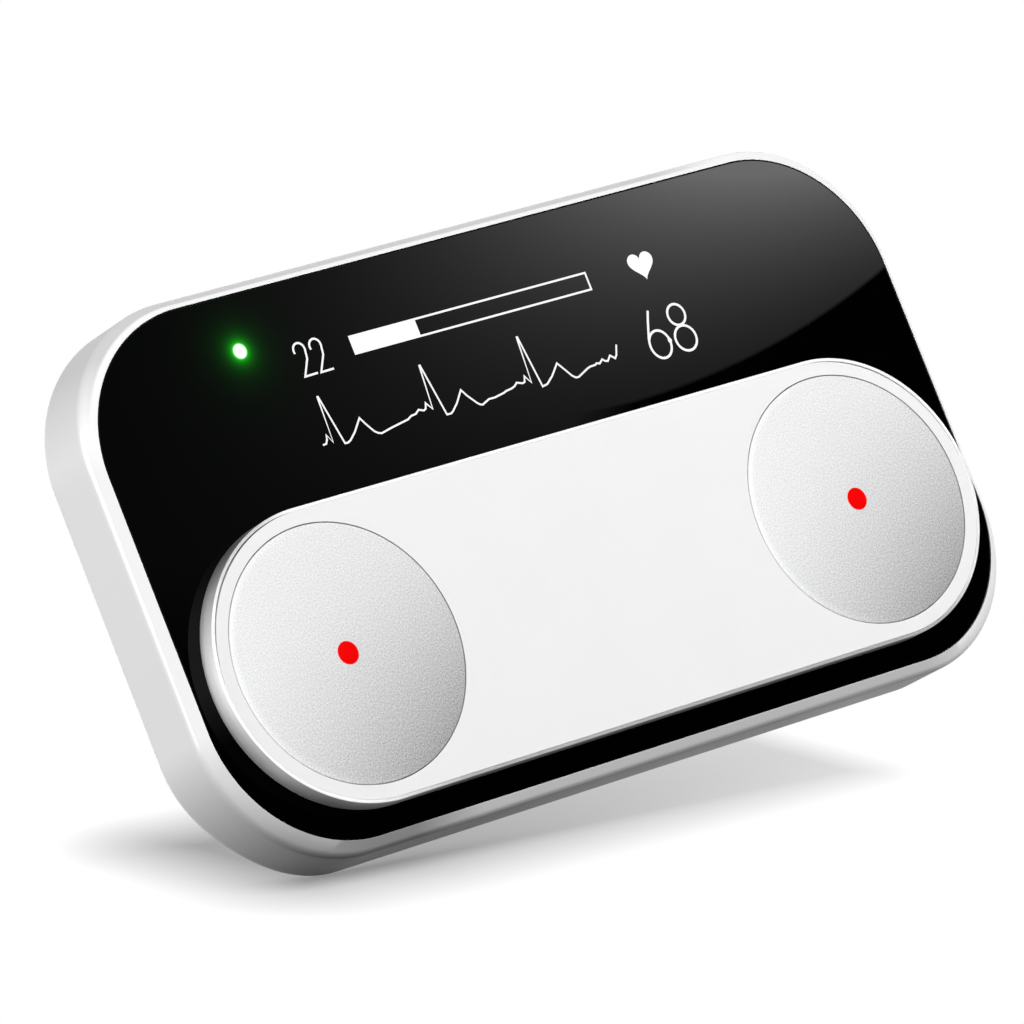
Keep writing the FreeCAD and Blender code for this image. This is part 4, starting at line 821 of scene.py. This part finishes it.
# %% Trace of the heartbeat
TRACE_STROKE = 0.185
first_beat = [(-24.5, 10.4), (-24.08, 10.44), (-23.82, 10.83), (-23.72, 11.28), (-23.25, 10.38),
              (-23.07, 15.04), (-22.98, 15.04), (-22.0, 10.0), (-21.64, 9.98), (-21.24, 10.16),
              (-20.45, 10.79), (-19.34, 11.98), (-18.88, 11.22), (-18.26, 10.35), (-17.9, 10.09),
              (-17.51, 9.97)]
second_beat = [(-16.26, 10.22), (-14.03, 10.57), (-13.5, 10.82), (-12.92, 10.88), (-12.42, 11.2),
               (-11.87, 10.99), (-11.57, 11.12), (-11.35, 11.65), (-10.8, 10.91), (-10.42, 15.34),
               (-10.33, 15.34), (-9.45, 10.0), (-8.95, 9.99), (-8.62, 10.16), (-7.81, 10.84),
               (-6.83, 11.95), (-6.36, 11.23), (-5.57, 10.31), (-5.3, 10.08), (-5.0, 9.98)]
third_beat = [(-4.06, 10.34), (-3.3, 10.34), (-2.06, 10.54), (-1.76, 10.65), (-1.0, 10.74),
              (-0.57, 10.88), (-0.19, 11.16), (0.48, 10.94), (0.77, 11.03), (0.98, 11.59),
              (1.51, 10.76), (1.84, 15.48), (1.93, 15.48), (2.62, 10.1), (3.25, 10.21), (4.16, 10.85),
              (5.28, 11.93), (5.86, 11.16), (6.45, 10.35), (6.83, 10.05), (7.2, 10.05)]
tail = [(8.6, 10.63), (9.02, 10.73), (9.64, 10.75), (9.84, 10.88), (10.19, 10.76), (10.67, 11.1),
        (10.93, 10.86), (11.26, 10.78), (11.74, 11.26), (12.23, 10.84), (12.52, 11.14),
        (12.97, 12.13)]
route = first_beat + second_beat + third_beat + tail
trace = flat_figure(draw_line(route, TRACE_STROKE), "heart_trace")
print("trace runs through", len(route), "points")

# %% [markdown]
# The level bar is a framed box that is filled up to a mark. It starts as one flat face. An inset
# makes the frame, a cut at the mark parts the inside, and the empty part is taken out.

# %% Level bar
BAR_CENTRE, BAR_SIZE, BAR_FRAME, BAR_MARK, BAR_END = (-2.16, 19.0), (29.8, 1.96), 0.2, -8.9, 12.4
alone()
bpy.ops.mesh.primitive_plane_add(size=1, location=Vector((*BAR_CENTRE, FIGURE_TOP)) * MM)
bar = settle("level_bar", Vector((*BAR_SIZE, 1)) * MM)
pick(bar, "FACE", lambda face: True)
bpy.ops.mesh.inset(thickness=BAR_FRAME * MM)
bpy.ops.mesh.bisect(plane_co=Vector((BAR_MARK, 0, 0)) * MM, plane_no=(1, 0, 0))


def empty_part(face):
    """Test for the inside of the bar beyond its mark."""
    centre = face.calc_center_median() / MM
    return BAR_MARK < centre.x < BAR_END and abs(centre.y - BAR_CENTRE[1]) < BAR_FRAME / 2


pick(bar, "FACE", empty_part)
bpy.ops.mesh.delete(type="FACE")
alone(bar)
flat_figure(bar, "level_bar")
print("bar filled to", round(BAR_MARK - BAR_CENTRE[0] + BAR_SIZE[0] / 2, 1), "of", BAR_SIZE[0], "mm")

# %% [markdown]
# The heart is a well-known curve: a cubed sine across, and four cosines up. A filled circle
# gives the points in the right order, and each is moved on to the curve.

# %% Heart
HEART, HEART_SCALE = (19.63, 19.25), 0.0985
alone()
bpy.ops.mesh.primitive_circle_add(vertices=64, radius=1, fill_type="NGON")
heart = bpy.context.object
for vertex in heart.data.vertices:
    turn = math.atan2(vertex.co.x, vertex.co.y)
    across = 16 * math.sin(turn) ** 3
    up = 13 * math.cos(turn) - 5 * math.cos(2 * turn) - 2 * math.cos(3 * turn) - math.cos(4 * turn)
    vertex.co = Vector((HEART[0] + across * HEART_SCALE, HEART[1] + up * HEART_SCALE,
                        FIGURE_TOP)) * MM
flat_figure(heart, "heart_sign")
for figure in (*readings, trace, bar, heart):
    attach(shade(figure), "housing")

# %% [markdown]
# ## Finishes of the inner parts
# The parts inside keep their construction shape. Each slot of the model gets a finish of its
# own: tape with a fibrous surface, board with solder mask over copper, foil with soft creases.

# %% Inner plastics, metals and films
def metal(name, colour, roughness, grain, depth):
    """Bare metal with a fine surface."""
    finish = Finish(name, Base_Color=colour, Metallic=1.0)
    cloud = finish.noise(grain)
    finish.fill({"Roughness": roughness * (0.8 + 0.4 * cloud)})
    finish.bump(cloud, depth)
    return finish


def board_finish():
    """Green solder mask, with the copper under it a little lighter and raised."""
    finish = Finish("solder_mask", IOR=1.5)
    tracks = finish.node("ShaderNodeTexBrick", {"offset": 0.35}, {
        "Vector": finish.place(), "Scale": 1 / (0.9 * MM), "Mortar Size": 0.12, "Brick Width": 2.2,
        "Row Height": 0.5}, output=1)
    cloud = finish.noise(3.0)
    light = 0.7 + 0.5 * tracks + 0.3 * cloud
    finish.fill({"Base Color": finish.tone((0.006, 0.085, 0.03), light),
                 "Roughness": 0.35 + 0.15 * cloud})
    finish.bump(tracks, 0.02)
    return finish


inner = {
    "black_frame": moulded("frame_black", (0.014, 0.014, 0.015), 0.55, depth=0.006),
    "black_tape": moulded("tape_black", (0.01, 0.01, 0.01), 0.8, grain=0.3, depth=0.02),
    "label_film": moulded("label_film", (0.78, 0.78, 0.79), 0.5, grain=0.2, depth=0.003),
    "black_gasket": moulded("gasket_black", (0.006, 0.006, 0.006), 0.75, grain=0.2, depth=0.01),
    "board": board_finish(),
    "tinned_steel": metal("tinned_steel", (0.7, 0.7, 0.68), 0.35, 0.6, 0.004),
    "capacitor": moulded("capacitor_tan", (0.33, 0.21, 0.12), 0.4, depth=0.004),
    "black_part": moulded("part_black", (0.016, 0.016, 0.017), 0.5, depth=0.006),
    "battery_foil": metal("battery_foil", (0.72, 0.73, 0.75), 0.38, 4.0, 0.25),
    "lead_insulation": moulded("lead_red", (0.42, 0.012, 0.012), 0.5, depth=0.003),
    "foam": moulded("foam_black", (0.02, 0.02, 0.02), 0.95, grain=0.35, depth=0.12),
    "flex_film": moulded("flex_amber", (0.42, 0.17, 0.025), 0.3, grain=1.0, depth=0.004,
                         Coat_Weight=0.5),
    "screw_steel": metal("screw_steel", (0.55, 0.55, 0.56), 0.32, 0.15, 0.003),
    "socket_ivory": moulded("socket_ivory", (0.72, 0.66, 0.52), 0.5, depth=0.004),
    "display_glass": moulded("display_glass", (0.01, 0.011, 0.014), 0.1, grain=3.0, depth=0.0005),
    "clear_bond": moulded("bond_clear", (0.75, 0.75, 0.74), 0.2, grain=1.0, depth=0.002,
                          Transmission_Weight=0.9),
    "led_body": moulded("led_resin", (0.72, 0.78, 0.6), 0.2, grain=0.3, depth=0.002, Coat_Weight=0.4),
    "spring_steel": metal("spring_steel", (0.5, 0.5, 0.5), 0.3, 0.4, 0.003),
    "gold_contact": metal("gold_contact", (0.9, 0.64, 0.27), 0.25, 0.3, 0.002),
}
dressed = 0
for node in nodes.values():
    for material_slot in node.material_slots:
        name = material_slot.material.name.split(".")[0]
        if name in inner:
            material_slot.material = inner[name].owner
            dressed += 1
print(dressed, "inner parts dressed in", len(inner), "finishes")

# %% [markdown]
# A wave spring and a snap dome lie under each electrode, and both give way under a thumb. Their
# construction shapes are rigid, and a merged copy of each takes their place.

# %% Springs and domes
for side in SIDES:
    for node_name, name in (("electrode_spring_", "wave_spring_"), ("start_dome_", "snap_dome_")):
        node = nodes[node_name + side]
        soft = bpy.data.objects.new(name + side, node.data.copy())
        scene.collection.objects.link(soft)
        pick(soft, "FACE", lambda face: True)
        bpy.ops.mesh.remove_doubles(threshold=SAME_SPOT)
        alone(soft)
        soft.data.materials.clear()
        paint(soft, inner["spring_steel"])
        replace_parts(shade(soft), node_name + side)
        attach(soft, "housing")
        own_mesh(soft)

# %% [markdown]
# ## Camera
# A long lens from the left and below makes the monitor lean back to the right. The camera is
# placed by its three axes, in the same frame as the model.

# %% Camera
EYE = Vector((-0.4478, -0.09105, 0.59805))
EYE_RIGHT, EYE_UP = Vector((0.77131, -0.36467, 0.52163)), Vector((0.22641, 0.92318, 0.31061))
FOCAL, SENSOR, NEAREST = 269.99, 36.0, 0.05
MIDDLE = Vector((0, 0, 0.004))


def placed(thing, right, up, spot):
    """Turn a thing so that its X and Y axes lie along two directions, and move it to a spot."""
    turn = Matrix((right, up, right.cross(up))).transposed()
    thing.matrix_world = Matrix.Translation(spot) @ turn.to_4x4()
    return thing


bpy.ops.object.camera_add()
camera = bpy.context.object
camera.data.lens, camera.data.sensor_width, camera.data.clip_start = FOCAL, SENSOR, NEAREST
placed(camera, EYE_RIGHT, EYE_UP, EYE)
scene.camera = camera
print("camera", round((EYE - MIDDLE).length, 3), "m from the monitor")

# %% [markdown]
# ## Floor
# The monitor stands on its lower left corner. So the floor is a large disc that touches the
# lowest point of the case and leans in the model's frame. It is seen from above only, and it
# throws no shadow itself, so that the lamp behind the monitor can light its back.

# %% Floor under the corner
UPWARD = Vector((0.097, 0.877, 0.4695)).normalized()
FLOOR_RADIUS = 1.2
lowest = min(UPWARD.dot(v.co) for v in case.data.vertices)
foot = MIDDLE - UPWARD * (UPWARD.dot(MIDDLE) - lowest)
across = (EYE_RIGHT - UPWARD * UPWARD.dot(EYE_RIGHT)).normalized()
alone()
bpy.ops.mesh.primitive_circle_add(vertices=96, radius=FLOOR_RADIUS, fill_type="NGON")
floor = placed(bpy.context.object, across, UPWARD.cross(across), foot)
floor.name, floor.visible_shadow = "floor", False
print("floor touches the case", round(-lowest / MM, 1), "mm below the origin")

# %% [markdown]
# A white floor in a white room has no edge. Under the case it is a pale surface that takes the
# shadow, and there a shadow is also painted: the patch glows less than the rest of the floor, least
# over its left part. Away from that patch, and towards the far right, it fades into the white of the
# studio.
# Rays that only light other surfaces meet a darker floor, so the lower wall lies in shade.

# %% Finish of the floor
SHADOW_LENGTH, SHADOW_BREADTH = (-37.0, 31.0), (-11.0, 6.0)
LEAN, FADE, RISE, RISE_START = 0.684, 13.3, 0.0086, -25.0
FLOOR_COLOUR, FLOOR_BOUNCE, FLOOR_GLOW = 0.29, 0.13, 0.235


def outside(value, low, high):
    """How far a value lies outside a range, and nothing inside it."""
    return (value - high).most(low - value).most(0.0)


floor_pale = Finish("floor_pale", Roughness=0.9, Specular_IOR_Level=0.0)
x, y, _ = floor_pale.axes()
along = x * math.cos(LEAN) + y * math.sin(LEAN)
lengthwise = outside(along, *SHADOW_LENGTH)
crosswise = outside(y * math.cos(LEAN) - x * math.sin(LEAN), *SHADOW_BREADTH)
away = (distance(lengthwise, crosswise) / FADE + ((along - RISE_START) * RISE).most(0.0)).least(1.0)
seen = floor_pale.seen()
pale = (FLOOR_BOUNCE + (FLOOR_COLOUR - FLOOR_BOUNCE) * seen) * (1 - away)
floor_pale.fill({"Base Color": floor_pale.tone((1, 1, 1), pale)})
# Painted shadow: the floor's glow is weaker on the patch under the case and weakest over its left
# part.
floor_pale.shine(floor_pale.tone((1, 1, 1), seen * (FLOOR_GLOW + (1 - FLOOR_GLOW) * away)))
clear = floor_pale.node("ShaderNodeBsdfTransparent")
backside = floor_pale.node("ShaderNodeNewGeometry", output="Backfacing")
surface = floor_pale.node("ShaderNodeMixShader", {}, {
    0: backside, 1: Value(floor_pale, floor_pale.shader.outputs[0]), 2: clear})
floor_pale.fill({"Surface": surface}, floor_pale.tree.nodes["Material Output"])
paint(floor, floor_pale)
print("floor finish:", floor_pale.owner.name, len(floor_pale.tree.nodes), "nodes")

# %% [markdown]
# ## Light
# The studio is white wherever a camera or a mirror looks at it, and gives the surfaces a softer
# even light. Three softboxes shape the case: one at its left, one in front and one behind. The
# window and the metal would mirror the last two as bright squares, so those only light matt
# surfaces.

# %% Studio and softboxes
STUDIO_LIGHT, LAMP_DISTANCE = 0.115, 0.9
scene.world = bpy.data.worlds.new("studio")
studio = Finish("studio", owner=scene.world)
studio.fill({"Color": (1, 1, 1), "Strength": STUDIO_LIGHT + (1 - STUDIO_LIGHT) * studio.seen()},
            studio.tree.nodes["Background"])


def softbox(name, direction, power, width, mirrored):
    """A square lamp that faces the monitor from one side, and that metal may mirror or not."""
    toward = Vector(direction).normalized()
    bpy.ops.object.light_add(type="AREA")
    lamp = bpy.context.object
    lamp.name, lamp.data.size, lamp.data.energy, lamp.visible_glossy = name, width, power, mirrored
    lamp.matrix_world = (Matrix.Translation(toward * LAMP_DISTANCE)
                         @ toward.to_track_quat("Z", "Y").to_matrix().to_4x4())
    return lamp


softboxes = [softbox("left", (-0.93, 0.31, 0.0), 6.3, 0.4, True),
             softbox("front", (0.2, 0.29, 0.92), 8.4, 0.6, False),
             softbox("back", (0.33, -0.09, -0.94), 6.0, 0.6, False)]
print("softboxes:", {lamp.name: lamp.data.energy for lamp in softboxes})

# %% [markdown]
# A polished black window only shows what it mirrors, so a studio puts a dark screen where the
# window looks and lights a part of it. The screen stands where the camera's mirror image looks,
# three metres beyond. Only glossy rays see it, so it throws no light or shadow.

# %% Dark screen
SCREEN_WAY, SCREEN_SPARE = 3.746, 1.3
flip = Matrix.Diagonal((1, 1, -1))
mirrored_eye = flip @ EYE + Vector((0, 0, 2 * DEPTH * MM))
right, up = flip @ EYE_RIGHT, flip @ EYE_UP
frame_width = SCREEN_WAY * SENSOR / FOCAL
alone()
bpy.ops.mesh.primitive_plane_add(size=SCREEN_SPARE * frame_width)
screen = placed(bpy.context.object, right, up, mirrored_eye + right.cross(up) * SCREEN_WAY)
screen.name = "dark_screen"
screen.visible_camera = screen.visible_diffuse = False
screen.visible_transmission = screen.visible_shadow = False
print("screen", round(frame_width, 3), "m wide,", SCREEN_WAY, "m from the mirrored camera")

# %% [markdown]
# Two parts of the screen are lit: a large disc with a clean edge, and a patch on the left that
# fades in. The light doubles in even steps along a slanted line and falls off to both sides of
# it. The window mirrors less than a hundredth, so the light is divided by that share. Places are
# given as shares of the screen's width.

# %% Light on the screen
FACE_FRESNEL, BRIGHTEST = 0.0082, 16.0
DISC_MIDDLE, DISC_EDGE = (-0.0664, 0.7475), (0.668, 0.664)
GLEAM, GLEAM_GROWTH, GLEAM_EVEN = 0.0041, 10.07, 0.0018
GLEAM_TURN, GLEAM_SHIFT, GLEAM_WIDTH = 0.9474, 0.1622, 0.143
screen_light = Finish("screen_light", Base_Color=(0, 0, 0), Specular_IOR_Level=0.0)
x, y, _ = screen_light.axes()
u, v = x * (MM / frame_width), y * (MM / frame_width)
disc_lit = distance(u - DISC_MIDDLE[0], v - DISC_MIDDLE[1]).ramp(*DISC_EDGE)
left_lit = u.ramp(0.12, 0.06) * v.ramp(-0.203, -0.047)
along = u * math.cos(GLEAM_TURN) + v * math.sin(GLEAM_TURN)
off = v * math.cos(GLEAM_TURN) - u * math.sin(GLEAM_TURN) - GLEAM_SHIFT
gleam = GLEAM * math.e ** (along * GLEAM_GROWTH - off * off / (2 * GLEAM_WIDTH ** 2)) + GLEAM_EVEN
light = (gleam * disc_lit.most(left_lit) / FACE_FRESNEL).least(BRIGHTEST)
screen_light.shine(screen_light.tone((1.0, 1.0, 1.0), light))
paint(screen, screen_light)
print("screen finish:", screen_light.owner.name, len(screen_light.tree.nodes), "nodes")

# %% [markdown]
# ## Finish
# The colours are shown as they are written.

# %% Colour view
scene.view_settings.view_transform = "Standard"
alone()
